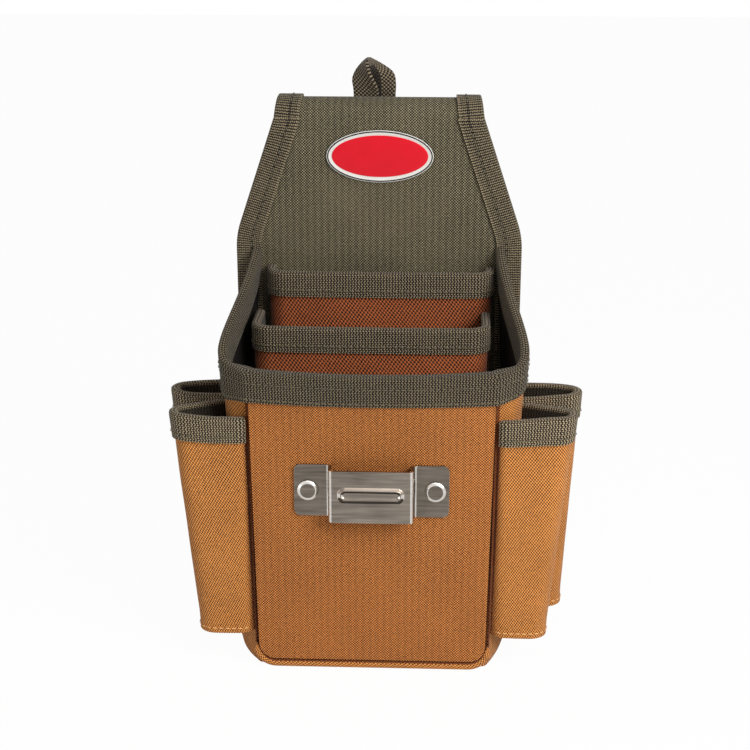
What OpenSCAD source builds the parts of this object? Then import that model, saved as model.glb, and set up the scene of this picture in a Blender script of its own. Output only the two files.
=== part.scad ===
// Cloth tool pouch for a work belt: a stiff front and back panel joined by a gusset, two nested pockets
// inside, two tapered sleeves on each side, a belt flap folded over the top and a steel tape-measure clip.
// Millimetres. The front faces -Y, +Z is up and the pouch stands on Z = 0, centred on its body depth.

/* [Body] */
// Width of the front panel at the mouth
front_w_mouth = 123; // [112:1:136]
// Width of the front panel at the base
front_w_base = 116; // [104:1:124]
// Depth from the face of the front panel to the face of the back panel
body_depth = 82; // [72:1:96]
// Height of the mouth at the front panel
mouth_front_h = 158; // [148:1:168]
// Height of the mouth where the side walls meet the back panel
mouth_rear_h = 201; // [188:1:215]
// How far the middle of the mouth leans out at the front
mouth_bulge = 7; // [0:0.5:12]
// How far the middle of the mouth sags at the front
mouth_sag = 0.6; // [0:0.1:5]
// Height above the base at which the front panel starts to lean out
bulge_start_h = 116; // [114:1:130]
// Reach of the side wall past the front seam where it turns the corner of the mouth
side_swell = 28; // [16:1:32]
// Depth behind the front at which the side wall starts to narrow
swell_depth = 36; // [26:1:44]
// Distance between the side walls at the back panel, at the mouth
mouth_rear_w = 128; // [122:1:134]
// Distance between the side walls at the back panel, at the base
base_rear_w = 142; // [132:1:146]
// Radius of the turn from the side walls into the floor
floor_turn_r = 10; // [6:0.5:14]
// Radius of the bottom corners of the front panel
front_corner_r = 9; // [4:0.5:14]
// Height of the front panel's bottom edge above the base
front_lift = 4.6; // [3:0.2:7]
// Height to which the welt under the front panel climbs at the corners
welt_h = 14; // [9:0.5:15]

/* [Cloth] */
// Thickness of the heavy woven cloth of gusset, sleeves and pockets
cloth_t = 1.8; // [1.2:0.1:2.4]
// Thickness of the panels' outer fabric
skin_t = 1.4; // [0.8:0.1:2]
// Thickness of the stiffening board inside the panels
board_t = 2.6; // [1.6:0.1:4]
// Thickness of the panels' lining
lining_t = 1; // [0.6:0.1:1.6]
// Thickness of the folded edge tape
tape_t = 1.2; // [0.8:0.1:1.6]
// Clearance between sewn neighbours
seam_gap = 0.2; // [0.1:0.05:0.3]

/* [Back panel] */
// Height of the top fold
fold_top_h = 278; // [268:1:296]
// Width of the back panel at its shoulders
back_w_shoulder = 146; // [142:0.5:156]
// Height of the shoulders
back_shoulder_h = 207; // [195:1:212]
// Width of the back panel near the base
back_w_base = 144; // [134:1:148]
// Width of the back panel and the flap at the top fold
back_w_top = 102.5; // [92:0.5:112]
// Radius of the bottom corners of the back panel
back_corner_r = 14; // [8:0.5:24]
// Radius that softens the shoulders
back_shoulder_r = 40; // [10:1:60]

/* [Edge tapes] */
// Height of the tape on the mouth
mouth_tape_h = 14.5; // [12:0.5:20]
// Height of the tape on the inner pockets
pocket_tape_h = 11.5; // [9:0.5:16]
// Height of the tape on the side sleeves
sleeve_tape_h = 12.8; // [9:0.2:16]
// Width of the tape on the back panel and the flap
panel_tape_w = 12.7; // [9:0.2:16]

/* [Inner pockets] */
// Depth of the rear pocket in front of the back panel
rear_pocket_depth = 16; // [10:0.5:22]
// Half width of the rear pocket
rear_pocket_half_w = 57.5; // [48:0.5:58.5]
// Height of the rear pocket's top edge
rear_pocket_h = 190.5; // [182:0.5:205]
// Depth of the front pocket in front of the rear pocket
front_pocket_depth = 31; // [22:0.5:36]
// Half width of the front pocket
front_pocket_half_w = 59; // [50:0.5:60]
// Height of the front pocket's top edge
front_pocket_h = 170; // [160:0.5:182]
// Radius of the turn from a pocket's front into its sides
pocket_turn_r = 9; // [4:0.5:10]

/* [Side sleeves] */
// Height of the sleeves' top edge
sleeve_top_h = 133; // [118:1:138]
// Height of the sleeves' open bottom edge
sleeve_bottom_h = 18; // [15.5:0.5:30]
// Distance from the middle to the outside of a front sleeve at its top
front_sleeve_reach_top = 99.5; // [94:0.5:106]
// Distance from the middle to the outside of a front sleeve at its bottom
front_sleeve_reach_bottom = 88; // [84:0.5:96]
// Distance from the middle to the outside of a rear sleeve at its top
rear_sleeve_reach_top = 104; // [96:0.5:110]
// Distance from the middle to the outside of a rear sleeve at its bottom
rear_sleeve_reach_bottom = 97.5; // [88:0.5:100]
// Radius of the sleeves' outer turn
sleeve_turn_r = 8; // [4:0.5:10]
// Setback of the front sleeve's wall behind the face of the front panel
sleeve_setback = 1.6; // [1.2:0.1:2]
// Place along the side wall of the seam between the two sleeves, as a fraction from front to rear
sleeve_seam_at = 0.62; // [0.56:0.01:0.68]
// Place along the side wall where the rear sleeve ends, as a fraction from front to rear
sleeve_end_at = 0.88; // [0.78:0.01:0.92]

/* [Belt flap] */
// Room for a belt between the back panel and the flap
belt_gap = 9; // [7.5:0.5:12]
// Length of the flap below the fold
flap_len = 126; // [100:1:150]
// Radius of the flap's bottom corners
flap_corner_r = 16; // [8:1:30]
// Width of the closure pads
pad_w = 70; // [40:1:74]
// Height of the closure pads
pad_h = 32; // [20:1:36]
// Thickness of each closure pad
pad_t = 1.5; // [1:0.1:1.8]
// Distance from the flap's bottom edge to its closure pad
pad_edge = 16; // [14:1:20]
// Clearance between the closure pads, and where the flap turns at the crest of the fold
flap_gap = 0.3; // [0.2:0.05:0.5]

/* [Hang loop] */
// Width of the hang loop's strap
loop_strap_w = 13; // [10:0.5:16]
// Thickness of the hang loop's strap
loop_strap_t = 1.6; // [1.2:0.1:2]
// Height of the hang loop above the top fold
loop_h = 17; // [14:0.5:24]
// Distance between the middles of the hang loop's two legs where they are sewn on
loop_spread = 7.7; // [5:0.1:12]
// How far the loop opens out sideways above its seam
loop_open = 4; // [1:0.5:6]
// How far the loop's peak leans to the left
loop_lean = 3; // [0:0.5:5]
// Shift of the hang loop to the left of the middle
loop_shift = 2.8; // [0:0.2:8]
// Length of the loop's legs sewn on behind the fold
loop_leg = 12; // [8:0.5:18]

/* [Tape clip] */
// Overall width of the clip
clip_w = 76.5; // [70:0.5:84]
// Height of the clip
clip_h = 26; // [20:0.5:30]
// Thickness of the clip's steel
clip_t = 1.5; // [1:0.1:2]
// Outside width of the clip's bridge
bridge_w = 42; // [38:0.5:46]
// Distance of the bridge's front from the front panel
bridge_out = 11; // [8:0.5:14]
// Bend radius of the clip, at the middle of the steel
bend_r = 2; // [1.6:0.1:3]
// Radius of the clip's corners
clip_corner_r = 3; // [1:0.5:5]
// Height of the clip's centre
clip_z = 98; // [60:1:100]
// Length of the rib pressed into the bridge
rib_len = 28; // [18:0.5:32]
// Width of the rib pressed into the bridge
rib_w = 7; // [4:0.5:9]
// Height of the pressed rib
rib_rise = 0.8; // [0.4:0.1:1]
// Distance between the two rivets
rivet_pitch = 63; // [61:0.5:64]
// Diameter of the rivets' heads
rivet_head_d = 10; // [7:0.5:11]
// Height of the rivets' heads
rivet_head_h = 1.6; // [1:0.1:2.4]
// Diameter of the rivets' shanks
rivet_shank_d = 4; // [3:0.1:5]
// Diameter of the washers inside the pouch
washer_d = 12; // [9:0.5:14]
// Thickness of the washers
washer_t = 1; // [0.6:0.1:1.5]
// Clearance of the shanks in their holes, on the radius
shank_gap = 0.15; // [0.1:0.05:0.3]

/* [Badge] */
// Width of the oval badge
badge_w = 55; // [40:1:64]
// Height of the oval badge
badge_h = 27; // [20:0.5:32]
// Height of the badge's centre
badge_z = 248; // [235:1:250]
// Thickness of the badge
badge_t = 1.6; // [1:0.1:2.5]
// Width of the badge's raised rim
badge_rim = 2.6; // [1.5:0.1:4]
// Depth of the badge's field below its rim
badge_sink = 0.4; // [0.2:0.1:0.6]

/* [Hidden] */
$fn = 48;

tan = "#c07c38";
olive = "#5b5844";
olive_face = "#5e5e44";
dark = "#2b2724";

// Places that several pieces share
panel_t = skin_t + board_t + lining_t;
y_front = -body_depth / 2;
y_back = body_depth / 2;
tape_out = seam_gap + tape_t;
seam_y = y_front + sleeve_setback + cloth_t + tape_out + seam_gap;
wall_rear_y = y_back - tape_out - seam_gap;
rear_pocket_y = y_back - rear_pocket_depth;
front_pocket_y = rear_pocket_y - front_pocket_depth;
floor_top = cloth_t + seam_gap;

// Steps used along the curved pieces
wall_steps = 14;
turn_steps = 5;
rise_steps = 4;
panel_steps = 12;
panel_levels = 8;
sleeve_steps = 8;
round_steps = 10;
oval_steps = 72;

// Handles of the side wall's plan curves, past the places they start from
swell_front_handle = 1;
mouth_rear_handle = 3;
base_front_handle = [7, 10];
// How quickly the front panel leans out, and how full the hang loop's bow is
lean_power = 1.5;
bow_power = 0.7;
// Steps of the side wall that the mouth's tape bridges at each front corner
corner_steps = 2;
// Extra room under the mouth's tape where the front panel leans out
lean_room = 0.2;
// Reach of the welt past the front panel's sides
welt_past = 1;
// Spread of a rivet's tail over its shank
tail_spread = 1.6;
// Room between the two sleeves where both meet the wall, as a fraction of the wall
sleeve_seam_room = 0.05;

function lerp(a, b, t) = a + (b - a) * t;
function unit(v) = v / norm(v);
function bezier(p, t) =
    pow(1 - t, 3) * p[0] + 3 * t * pow(1 - t, 2) * p[1] + 3 * t * t * (1 - t) * p[2] + pow(t, 3) * p[3];
function bezier_dir(p, t) =
    unit(pow(1 - t, 2) * (p[1] - p[0]) + 2 * t * (1 - t) * (p[2] - p[1]) + t * t * (p[3] - p[2]));
// The side to the right of a plan direction
function right_of(d) = [d[1], -d[0]];
function in_plan(p, z) = [p[0], p[1], z];

// A closed sheet between two matching grids of points; the first grid is its outside
module sheet(outside, inside) {
    rows = len(outside);
    cols = len(outside[0]);
    points = [for (grid = [outside, inside]) for (row = grid) for (p = row) p];
    function at(side, i, j) = (side * rows + i) * cols + j;
    function quad(a, b, c, d) = [[a, b, d], [b, c, d]];
    skin = [for (i = [0:rows - 2]) for (j = [0:cols - 2]) for (f = concat(
        quad(at(0, i, j), at(0, i, j + 1), at(0, i + 1, j + 1), at(0, i + 1, j)),
        quad(at(1, i, j), at(1, i + 1, j), at(1, i + 1, j + 1), at(1, i, j + 1)))) f];
    long_edges = [for (i = [0:rows - 2]) for (f = concat(
        quad(at(0, i, 0), at(0, i + 1, 0), at(1, i + 1, 0), at(1, i, 0)),
        quad(at(0, i + 1, cols - 1), at(0, i, cols - 1), at(1, i, cols - 1), at(1, i + 1, cols - 1)))) f];
    cross_edges = [for (j = [0:cols - 2]) for (f = concat(
        quad(at(0, 0, j + 1), at(0, 0, j), at(1, 0, j), at(1, 0, j + 1)),
        quad(at(0, rows - 1, j), at(0, rows - 1, j + 1), at(1, rows - 1, j + 1), at(1, rows - 1, j)))) f];
    polyhedron(points, concat(skin, long_edges, cross_edges));
}

// The eight corners of a tape folded over a wall: outer and inner wall points below and at its top edge
function tape_ring(outer_low, outer_top, inner_top, inner_low, side) =
    let (n = in_plan(side, 0), up = [0, 0, 1]) [
        outer_low + n * seam_gap,
        outer_low + n * tape_out,
        outer_top + n * tape_out + up * tape_out,
        inner_top - n * tape_out + up * tape_out,
        inner_low - n * tape_out,
        inner_low - n * seam_gap,
        inner_top - n * seam_gap + up * seam_gap,
        outer_top + n * seam_gap + up * seam_gap];

// A folded tape through a row of such rings
module tape(rings) {
    last = len(rings) - 1;
    points = [for (ring = rings) for (p = ring) p];
    function at(i, e) = 8 * i + e % 8;
    legs = [[0, 1, 2, 7], [7, 2, 3, 6], [6, 3, 4, 5]];
    sides = [for (i = [0:last - 1]) for (e = [0:7]) for (f = [
        [at(i, e), at(i, e + 1), at(i + 1, e + 1)],
        [at(i, e), at(i + 1, e + 1), at(i + 1, e)]]) f];
    start = [for (q = legs) [at(0, q[3]), at(0, q[2]), at(0, q[1]), at(0, q[0])]];
    end = [for (q = legs) [for (e = q) at(last, e)]];
    polyhedron(points, concat(sides, start, end));
}

// Plan points of a strip of even thickness along a path
function strip(path, t) =
    let (
        last = len(path) - 1,
        sides = [for (i = [0:last]) right_of(unit(path[min(i + 1, last)] - path[max(i - 1, 0)]))]
    )
    concat(
        [for (i = [0:last]) path[i] + sides[i] * t / 2],
        [for (i = [last:-1:0]) path[i] - sides[i] * t / 2]);

function arc(centre, r, from, to, steps) =
    [for (i = [0:steps]) let (a = lerp(from, to, i / steps)) centre + r * [cos(a), sin(a)]];

// FRONT PANEL

function front_half_w(z) = lerp(front_w_base, front_w_mouth, z / mouth_front_h) / 2;
function lean(z) =
    z < bulge_start_h ? 0 : pow((z - bulge_start_h) / (mouth_front_h - bulge_start_h), lean_power);
function front_top(u) = mouth_front_h - mouth_sag * (1 - u * u);
function front_bottom(x) =
    let (past = max(0, abs(x) - (front_half_w(0) - front_corner_r)))
    front_lift + front_corner_r - sqrt(max(0, pow(front_corner_r, 2) - pow(past, 2)));
// A point of the front panel: u from -1 to 1 across, z up, a depth behind its face
function front_point(u, z, depth) =
    [u * front_half_w(z), y_front + depth - mouth_bulge * (1 - u * u) * lean(z), z];
// Rows from side to side crowd at the corners, where the outline turns
function front_u(i) = sin(lerp(-90, 90, i / panel_steps));
function front_level(u, v) =
    let (low = front_bottom(u * front_half_w(front_lift)))
    v < 0.5 ? lerp(low, bulge_start_h, v * 2) : lerp(bulge_start_h, front_top(u), v * 2 - 1);
function front_grid(depth) =
    [for (i = [0:panel_steps]) let (u = front_u(i))
        [for (j = [0:panel_levels]) front_point(u, front_level(u, j / panel_levels), depth)]];

module rivet_holes(from, to) {
    for (side = [-1, 1])
        translate([side * rivet_pitch / 2, from - seam_gap, clip_z])
            rotate([-90, 0, 0])
                cylinder(r = rivet_shank_d / 2 + shank_gap, h = to - from + 2 * seam_gap);
}

module front_layer(from, to) {
    difference() {
        sheet(front_grid(from), front_grid(to));
        rivet_holes(y_front + from, y_front + to);
    }
}

module front_face() {
    color(tan) front_layer(0, skin_t);
}

module front_board() {
    color(dark) front_layer(skin_t, skin_t + board_t);
}

module front_lining() {
    color(dark) front_layer(skin_t + board_t, panel_t);
}

// Rolled seam that shows under the front panel and dies out past its corners
module base_welt() {
    depth = seam_y - seam_gap - y_front - skin_t;
    out_r = front_corner_r + front_lift - seam_gap;
    half = front_half_w(front_lift) + welt_past;
    color(tan)
        translate([0, seam_y - seam_gap, 0])
            rotate([90, 0, 0])
                linear_extrude(depth)
                    intersection() {
                        difference() {
                            cup_outline(half, 0, out_r, mouth_front_h);
                            cup_outline(half - welt_past + seam_gap, front_lift - seam_gap,
                                front_corner_r, mouth_front_h);
                        }
                        translate([-half, 0]) square([2 * half, welt_h]);
                    }
}

// Upright outline with round bottom corners
module cup_outline(half, bottom, r, top) {
    polygon(concat(
        [[half, top], [-half, top]],
        arc([-half + r, bottom + r], r, 180, 270, round_steps),
        arc([half - r, bottom + r], r, 270, 360, round_steps)));
}

// GUSSET

mouth_curve = [
    [front_w_mouth / 2 + seam_gap, seam_y],
    [front_w_mouth / 2 + side_swell, seam_y + swell_front_handle],
    [mouth_rear_w / 2 + mouth_rear_handle, y_front + swell_depth],
    [mouth_rear_w / 2, wall_rear_y]];
base_curve = [
    [front_w_base / 2 + cloth_t + seam_gap, seam_y],
    [front_w_base / 2 + cloth_t, seam_y] + base_front_handle,
    [base_rear_w / 2, y_front + swell_depth],
    [base_rear_w / 2, wall_rear_y]];

function mouth_h(s) =
    let (y = bezier(mouth_curve, s)[1])
    lerp(mouth_front_h, mouth_rear_h, (y - seam_y) / (wall_rear_y - seam_y));
function wall_curve(h) = [for (k = [0:3]) lerp(base_curve[k], mouth_curve[k], h)];
// Plan place and outward side of the right wall at a fraction s from front to rear and a height z
function wall_plan(s, z) = bezier(wall_curve(z / mouth_h(s)), s);
function wall_side(s, z) = right_of(bezier_dir(wall_curve(z / mouth_h(s)), s));
function wall_point(s, z, depth) = in_plan(wall_plan(s, z) - depth * wall_side(s, z), z);

// Half of the gusset's section at s: floor, turn and wall, a depth inside its outer face
function gusset_half(s, depth) =
    let (
        floor_y = wall_plan(s, 0)[1],
        floor_x = wall_plan(s, 0)[0] - floor_turn_r,
        turn = [for (k = [1:turn_steps])
            let (a = 90 * k / turn_steps, z = floor_turn_r * (1 - cos(a)), n = wall_side(s, z))
            in_plan(wall_plan(s, z) - floor_turn_r * (1 - sin(a)) * [1, 0] - depth * sin(a) * n,
                z + depth * cos(a))],
        wall = [for (k = [1:rise_steps])
            wall_point(s, lerp(floor_turn_r, mouth_h(s), k / rise_steps), depth)]
    )
    concat([[0, floor_y, depth], [floor_x, floor_y, depth]], turn, wall);
function flipped(p) = [-p[0], p[1], p[2]];
function gusset_section(s, depth) =
    let (half = gusset_half(s, depth), last = len(half) - 1)
    concat([for (k = [last:-1:1]) flipped(half[k])], half);

module gusset() {
    color(tan)
        sheet(
            [for (i = [0:wall_steps]) gusset_section(i / wall_steps, 0)],
            [for (i = [0:wall_steps]) gusset_section(i / wall_steps, cloth_t)]);
}

// Tape over the mouth: along the right wall from the front corner, and across the front
function wall_ring(s) =
    let (top = mouth_h(s), low = top - mouth_tape_h)
    tape_ring(wall_point(s, low, 0), wall_point(s, top, 0),
        wall_point(s, top, cloth_t), wall_point(s, low, cloth_t), wall_side(s, top));
function front_ring(u, side, depth) =
    let (top = front_top(u), low = top - mouth_tape_h)
    tape_ring(front_point(u, low, -lean_room), front_point(u, top, -lean_room),
        front_point(u, top, depth + lean_room), front_point(u, low, depth + lean_room), side);
function flipped_ring(ring) = [for (p = ring) flipped(p)];

module rim_binding() {
    // The tape bridges the step from the panel's edge to the wall, and turns the corner there
    corner = unit([1, -2]);
    corner_depth = seam_y + cloth_t + seam_gap - y_front;
    right = [for (i = [corner_steps:wall_steps]) wall_ring(i / wall_steps)];
    left = [for (i = [len(right) - 1:-1:0]) flipped_ring(right[i])];
    front = [for (i = [1:panel_steps - 1]) front_ring(front_u(i), [0, -1], panel_t)];
    color(olive)
        tape(concat(
            left,
            [front_ring(-1, [-corner[0], corner[1]], corner_depth)],
            front,
            [front_ring(1, corner, corner_depth)],
            right));
}

// INNER POCKETS

// U in plan: from the piece behind, round the front and back again, at the middle of the cloth
function pocket_path(half, front_y, rear_y) =
    let (mid = half - cloth_t / 2, y = front_y + cloth_t / 2, r = pocket_turn_r)
    concat(
        [[-mid, rear_y - seam_gap]],
        arc([-mid + r, y + r], r, 180, 270, round_steps),
        arc([mid - r, y + r], r, 270, 360, round_steps),
        [[mid, rear_y - seam_gap]]);

module pocket_wall(path, top) {
    translate([0, 0, floor_top]) linear_extrude(top - floor_top) polygon(strip(path, cloth_t));
}

module pocket_tape(path, top) {
    difference() {
        translate([0, 0, top - pocket_tape_h])
            linear_extrude(pocket_tape_h + tape_out)
                polygon(strip(path, cloth_t + 2 * tape_out));
        translate([0, 0, top - 2 * pocket_tape_h])
            linear_extrude(2 * pocket_tape_h + seam_gap)
                polygon(strip(path, cloth_t + 2 * seam_gap));
    }
}

front_pocket_path = pocket_path(front_pocket_half_w, front_pocket_y, rear_pocket_y);
rear_pocket_path = pocket_path(rear_pocket_half_w, rear_pocket_y, y_back - tape_out);

module front_pocket() {
    color(tan) pocket_wall(front_pocket_path, front_pocket_h);
}

module front_pocket_binding() {
    color(olive) pocket_tape(front_pocket_path, front_pocket_h);
}

module rear_pocket() {
    color(tan) pocket_wall(rear_pocket_path, rear_pocket_h);
}

module rear_pocket_binding() {
    color(olive) pocket_tape(rear_pocket_path, rear_pocket_h);
}

// SIDE SLEEVES

// Plan path of a sleeve's outer face: straight out from its root, round the turn, back to the wall
function sleeve_path(root, reach, end) =
    let (
        centre = [reach - sleeve_turn_r, root[1] + sleeve_turn_r],
        away = end - centre,
        leave = atan2(away[1], away[0]) - acos(sleeve_turn_r / norm(away)),
        turn = arc(centre, sleeve_turn_r, -90, leave, sleeve_steps)
    )
    concat([root], turn, [lerp(turn[sleeve_steps], end, 0.5), end]);

// Where a sleeve leaves the wall, clear of the wall's cloth
function on_wall(s, z) = wall_plan(s, z) + seam_gap * wall_side(s, z);
function sleeve_h(t) = lerp(sleeve_bottom_h, sleeve_top_h, t);
function front_sleeve_path(t) =
    let (z = sleeve_h(t))
    sleeve_path(
        [front_half_w(z) + seam_gap, y_front + sleeve_setback],
        lerp(front_sleeve_reach_bottom, front_sleeve_reach_top, t),
        on_wall(sleeve_seam_at - sleeve_seam_room, z));
function rear_sleeve_path(t) =
    let (z = sleeve_h(t), root = on_wall(sleeve_seam_at, z))
    sleeve_path(root, lerp(rear_sleeve_reach_bottom, rear_sleeve_reach_top, t), on_wall(sleeve_end_at, z));

function path_sides(path) =
    let (last = len(path) - 1)
    [for (i = [0:last]) right_of(unit(path[min(i + 1, last)] - path[max(i - 1, 0)]))];
// Inside of the path's cloth; both ends are drawn back so that the cloth's edges clear the wall
function path_inside(path, depth) =
    let (n = path_sides(path), last = len(path) - 1)
    [for (i = [0:last])
        path[i] - depth * n[i] + (i == last ? depth * unit(path[last - 1] - path[last]) : [0, 0])];

// Part of the sleeve's height under the tape; the cloth has a row of points along the tape's lower edge
tape_share = sleeve_tape_h / (sleeve_top_h - sleeve_bottom_h);
sleeve_rows = [0, (1 - tape_share) / 2, 1 - tape_share, 1];
function sleeve_grid(bottom, top) =
    [for (i = [0:len(top) - 1]) [for (t = sleeve_rows) in_plan(lerp(bottom[i], top[i], t), sleeve_h(t))]];

module sleeve_cloth(bottom, top) {
    sheet(sleeve_grid(bottom, top), sleeve_grid(path_inside(bottom, cloth_t), path_inside(top, cloth_t)));
}

module sleeve_tape(bottom, top) {
    inner_top = path_inside(top, cloth_t);
    inner_bottom = path_inside(bottom, cloth_t);
    sides = path_sides(top);
    low_z = sleeve_top_h - sleeve_tape_h;
    // The tape stops short of the wall at both ends
    trim = [for (i = [0:len(top) - 1])
        i == 0 ? tape_out * unit(top[1] - top[0])
        : i == len(top) - 1 ? (tape_out + cloth_t) * unit(top[i - 1] - top[i])
        : [0, 0]];
    tape([for (i = [0:len(top) - 1]) tape_ring(
        in_plan(lerp(top[i], bottom[i], tape_share) + trim[i], low_z),
        in_plan(top[i] + trim[i], sleeve_top_h),
        in_plan(inner_top[i] + trim[i], sleeve_top_h),
        in_plan(lerp(inner_top[i], inner_bottom[i], tape_share) + trim[i], low_z),
        sides[i])]);
}

module right_front_sleeve() {
    color(tan) sleeve_cloth(front_sleeve_path(0), front_sleeve_path(1));
}

module right_front_sleeve_binding() {
    color(olive) sleeve_tape(front_sleeve_path(0), front_sleeve_path(1));
}

module right_rear_sleeve() {
    color(tan) sleeve_cloth(rear_sleeve_path(0), rear_sleeve_path(1));
}

module right_rear_sleeve_binding() {
    color(olive) sleeve_tape(rear_sleeve_path(0), rear_sleeve_path(1));
}

module left_front_sleeve() {
    mirror([1, 0, 0]) right_front_sleeve();
}

module left_front_sleeve_binding() {
    mirror([1, 0, 0]) right_front_sleeve_binding();
}

module left_rear_sleeve() {
    mirror([1, 0, 0]) right_rear_sleeve();
}

module left_rear_sleeve_binding() {
    mirror([1, 0, 0]) right_rear_sleeve_binding();
}

// BACK PANEL

fold_in_r = belt_gap / 2;
fold_out_r = fold_in_r + panel_t;
fold_y = y_back + fold_out_r;
fold_z = fold_top_h - fold_out_r;
tape_in_r = fold_in_r - tape_out;
tape_out_r = fold_out_r + tape_out;
fold_bare_half = back_w_top / 2 - panel_tape_w;
y_rear = y_back + panel_t;

// Outline of the back panel, drawn in by an inset all round but at the top
module back_outline(inset) {
    r = max(back_corner_r - inset, 1);
    base = back_w_base / 2 - inset;
    shoulder = back_w_shoulder / 2 - inset;
    top = back_w_top / 2 - inset;
    low = tape_out + inset;
    softened = arc_between([base, low + r], [shoulder, back_shoulder_h], [top, fold_z], back_shoulder_r);
    half = concat(arc([base - r, low + r], r, -90, 0, round_steps), softened, [[top, fold_z]]);
    polygon(concat(half, [for (i = [len(half) - 1:-1:0]) [-half[i][0], half[i][1]]]));
}

// Arc of radius r that rounds the corner b between a and c
function arc_between(a, b, c, r) =
    let (
        to_a = unit(a - b),
        to_c = unit(c - b),
        half_angle = acos(to_a * to_c) / 2,
        run = r / tan(half_angle),
        centre = b + unit(to_a + to_c) * r / sin(half_angle),
        from = b + to_a * run - centre,
        to = b + to_c * run - centre
    )
    arc(centre, r, atan2(from[1], from[0]), atan2(to[1], to[0]), round_steps);

module upright(y, depth) {
    translate([0, y + depth, 0]) rotate([90, 0, 0]) linear_extrude(depth) children();
}

// The fold over the top, between two radii and two angles, for a half width
module fold(r_in, r_out, half, from, to) {
    translate([0, fold_y, fold_z])
        rotate([90, 0, 90])
            rotate([0, 0, from])
                rotate_extrude(angle = to - from, $fn = 96)
                    translate([r_in, -half]) square([r_out - r_in, 2 * half]);
}

// The front half of the fold, from the panel's top up to the crest
module front_fold(r_in, r_out, half) {
    fold(r_in, r_out, half, 90, 180);
}

module back_layer(depth_in, depth) {
    upright(y_back + depth_in, depth) back_outline(0);
    front_fold(fold_out_r - depth_in - depth, fold_out_r - depth_in, back_w_top / 2);
}

module back_face() {
    color(olive_face) back_layer(0, skin_t);
}

module back_board() {
    color(dark) back_layer(skin_t, board_t);
}

module back_lining() {
    color(dark) back_layer(skin_t + board_t, lining_t);
}

// Tape folded over both sides and the bottom of the back panel, and up to the crest of the fold
module back_binding() {
    color(olive)
        difference() {
            union() {
                upright(y_back - tape_out, panel_t + 2 * tape_out) back_outline(-tape_out);
                front_fold(tape_in_r, tape_out_r, back_w_top / 2 + tape_out);
            }
            upright(y_back - 2 * tape_out, panel_t + 4 * tape_out) back_inner();
            upright(y_back - seam_gap, panel_t + 2 * seam_gap) back_outline(-seam_gap);
            front_fold(fold_in_r - seam_gap, fold_out_r + seam_gap, back_w_top / 2 + seam_gap);
            front_fold(tape_in_r - tape_t, tape_out_r + tape_t, fold_bare_half);
        }
}

// The part of the panel that the tape leaves bare, open at the top
module back_inner() {
    back_outline(panel_tape_w);
    translate([-fold_bare_half, fold_z - tape_out]) square([2 * fold_bare_half, 2 * tape_out]);
}

// BELT FLAP

// Lean that brings the flap's pad to the pad on the panel, below the belt
flap_lean = asin((belt_gap - 2 * pad_t - flap_gap) / (flap_len - pad_edge));

// Frame of the flap: Y is out from the middle of the fold, Z down the flap is negative
module on_flap() {
    translate([0, fold_y, fold_z]) rotate([-flap_lean, 0, 0]) children();
}

// The rear half of the fold, from its crest down to the flap
module rear_fold(r_in, r_out, half) {
    fold(r_in, r_out, half, -flap_lean, 90);
}

// Clearance at the crest, where the flap turns
module crest_cut() {
    translate([-back_w_top, fold_y - flap_gap, fold_z])
        cube([2 * back_w_top, 2 * flap_gap, 2 * fold_out_r]);
}

module flap_outline(inset) {
    half = back_w_top / 2 - inset;
    cup_outline(half, -flap_len + inset, max(flap_corner_r - inset, 1), 0);
}

module flap_slab(from, to, inset) {
    on_flap() upright(from, to - from) flap_outline(inset);
}

module flap_layer(from, to) {
    difference() {
        rear_fold(from, to, back_w_top / 2);
        crest_cut();
    }
    flap_slab(from, to, 0);
}

module flap_face() {
    color(olive_face) flap_layer(fold_out_r - skin_t, fold_out_r);
}

module flap_board() {
    color(dark) flap_layer(fold_in_r + lining_t, fold_out_r - skin_t);
}

module flap_lining() {
    color(dark) flap_layer(fold_in_r, fold_in_r + lining_t);
}

// Tape over the flap's sides and bottom, carried up to the crest of the fold at both sides
module flap_binding() {
    color(olive)
        difference() {
            union() {
                rear_fold(tape_in_r, tape_out_r, back_w_top / 2 + tape_out);
                flap_slab(tape_in_r, tape_out_r, -tape_out);
            }
            rear_fold(fold_in_r - seam_gap, fold_out_r + seam_gap, back_w_top / 2 + seam_gap);
            flap_slab(fold_in_r - seam_gap, fold_out_r + seam_gap, -seam_gap);
            rear_fold(tape_in_r - tape_t, tape_out_r + tape_t, fold_bare_half);
            flap_slab(tape_in_r - tape_t, tape_out_r + tape_t, panel_tape_w);
            crest_cut();
        }
}

// Closure pads below the belt: hooks on the panel, loops on the flap
module hook_pad() {
    middle = fold_z - flap_len + pad_edge + pad_h / 2;
    color(dark)
        translate([-pad_w / 2, y_rear, middle - pad_h / 2])
            cube([pad_w, pad_t, pad_h]);
}

module loop_pad() {
    color(dark)
        on_flap()
            translate([-pad_w / 2, fold_in_r - pad_t, -flap_len + pad_edge])
                cube([pad_w, pad_t, pad_h]);
}

// HANG LOOP

// The strap rises on its left leg in front, twists edge-on at the peak and comes down behind on the right
loop_face_y = fold_y + fold_out_r + seam_gap;
loop_y = loop_face_y + loop_strap_t + seam_gap / 2;
loop_seam_z = fold_z;
loop_steps = 24;
// Layers of the two legs, in front of and behind the middle of the loop
leg_offset = (loop_strap_t + seam_gap) / 2;
function leg_x(swing) = -loop_shift - loop_spread / 2 * swing;
function loop_middle(a) =
    [leg_x(cos(a)) - loop_open * sin(a) * cos(a) - loop_lean * pow(sin(a), 2),
        loop_y - leg_offset * cos(a),
        loop_seam_z + (fold_out_r + loop_h) * pow(sin(a), bow_power)];
function loop_across(a) = [cos(a), -sin(a), 0];

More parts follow.
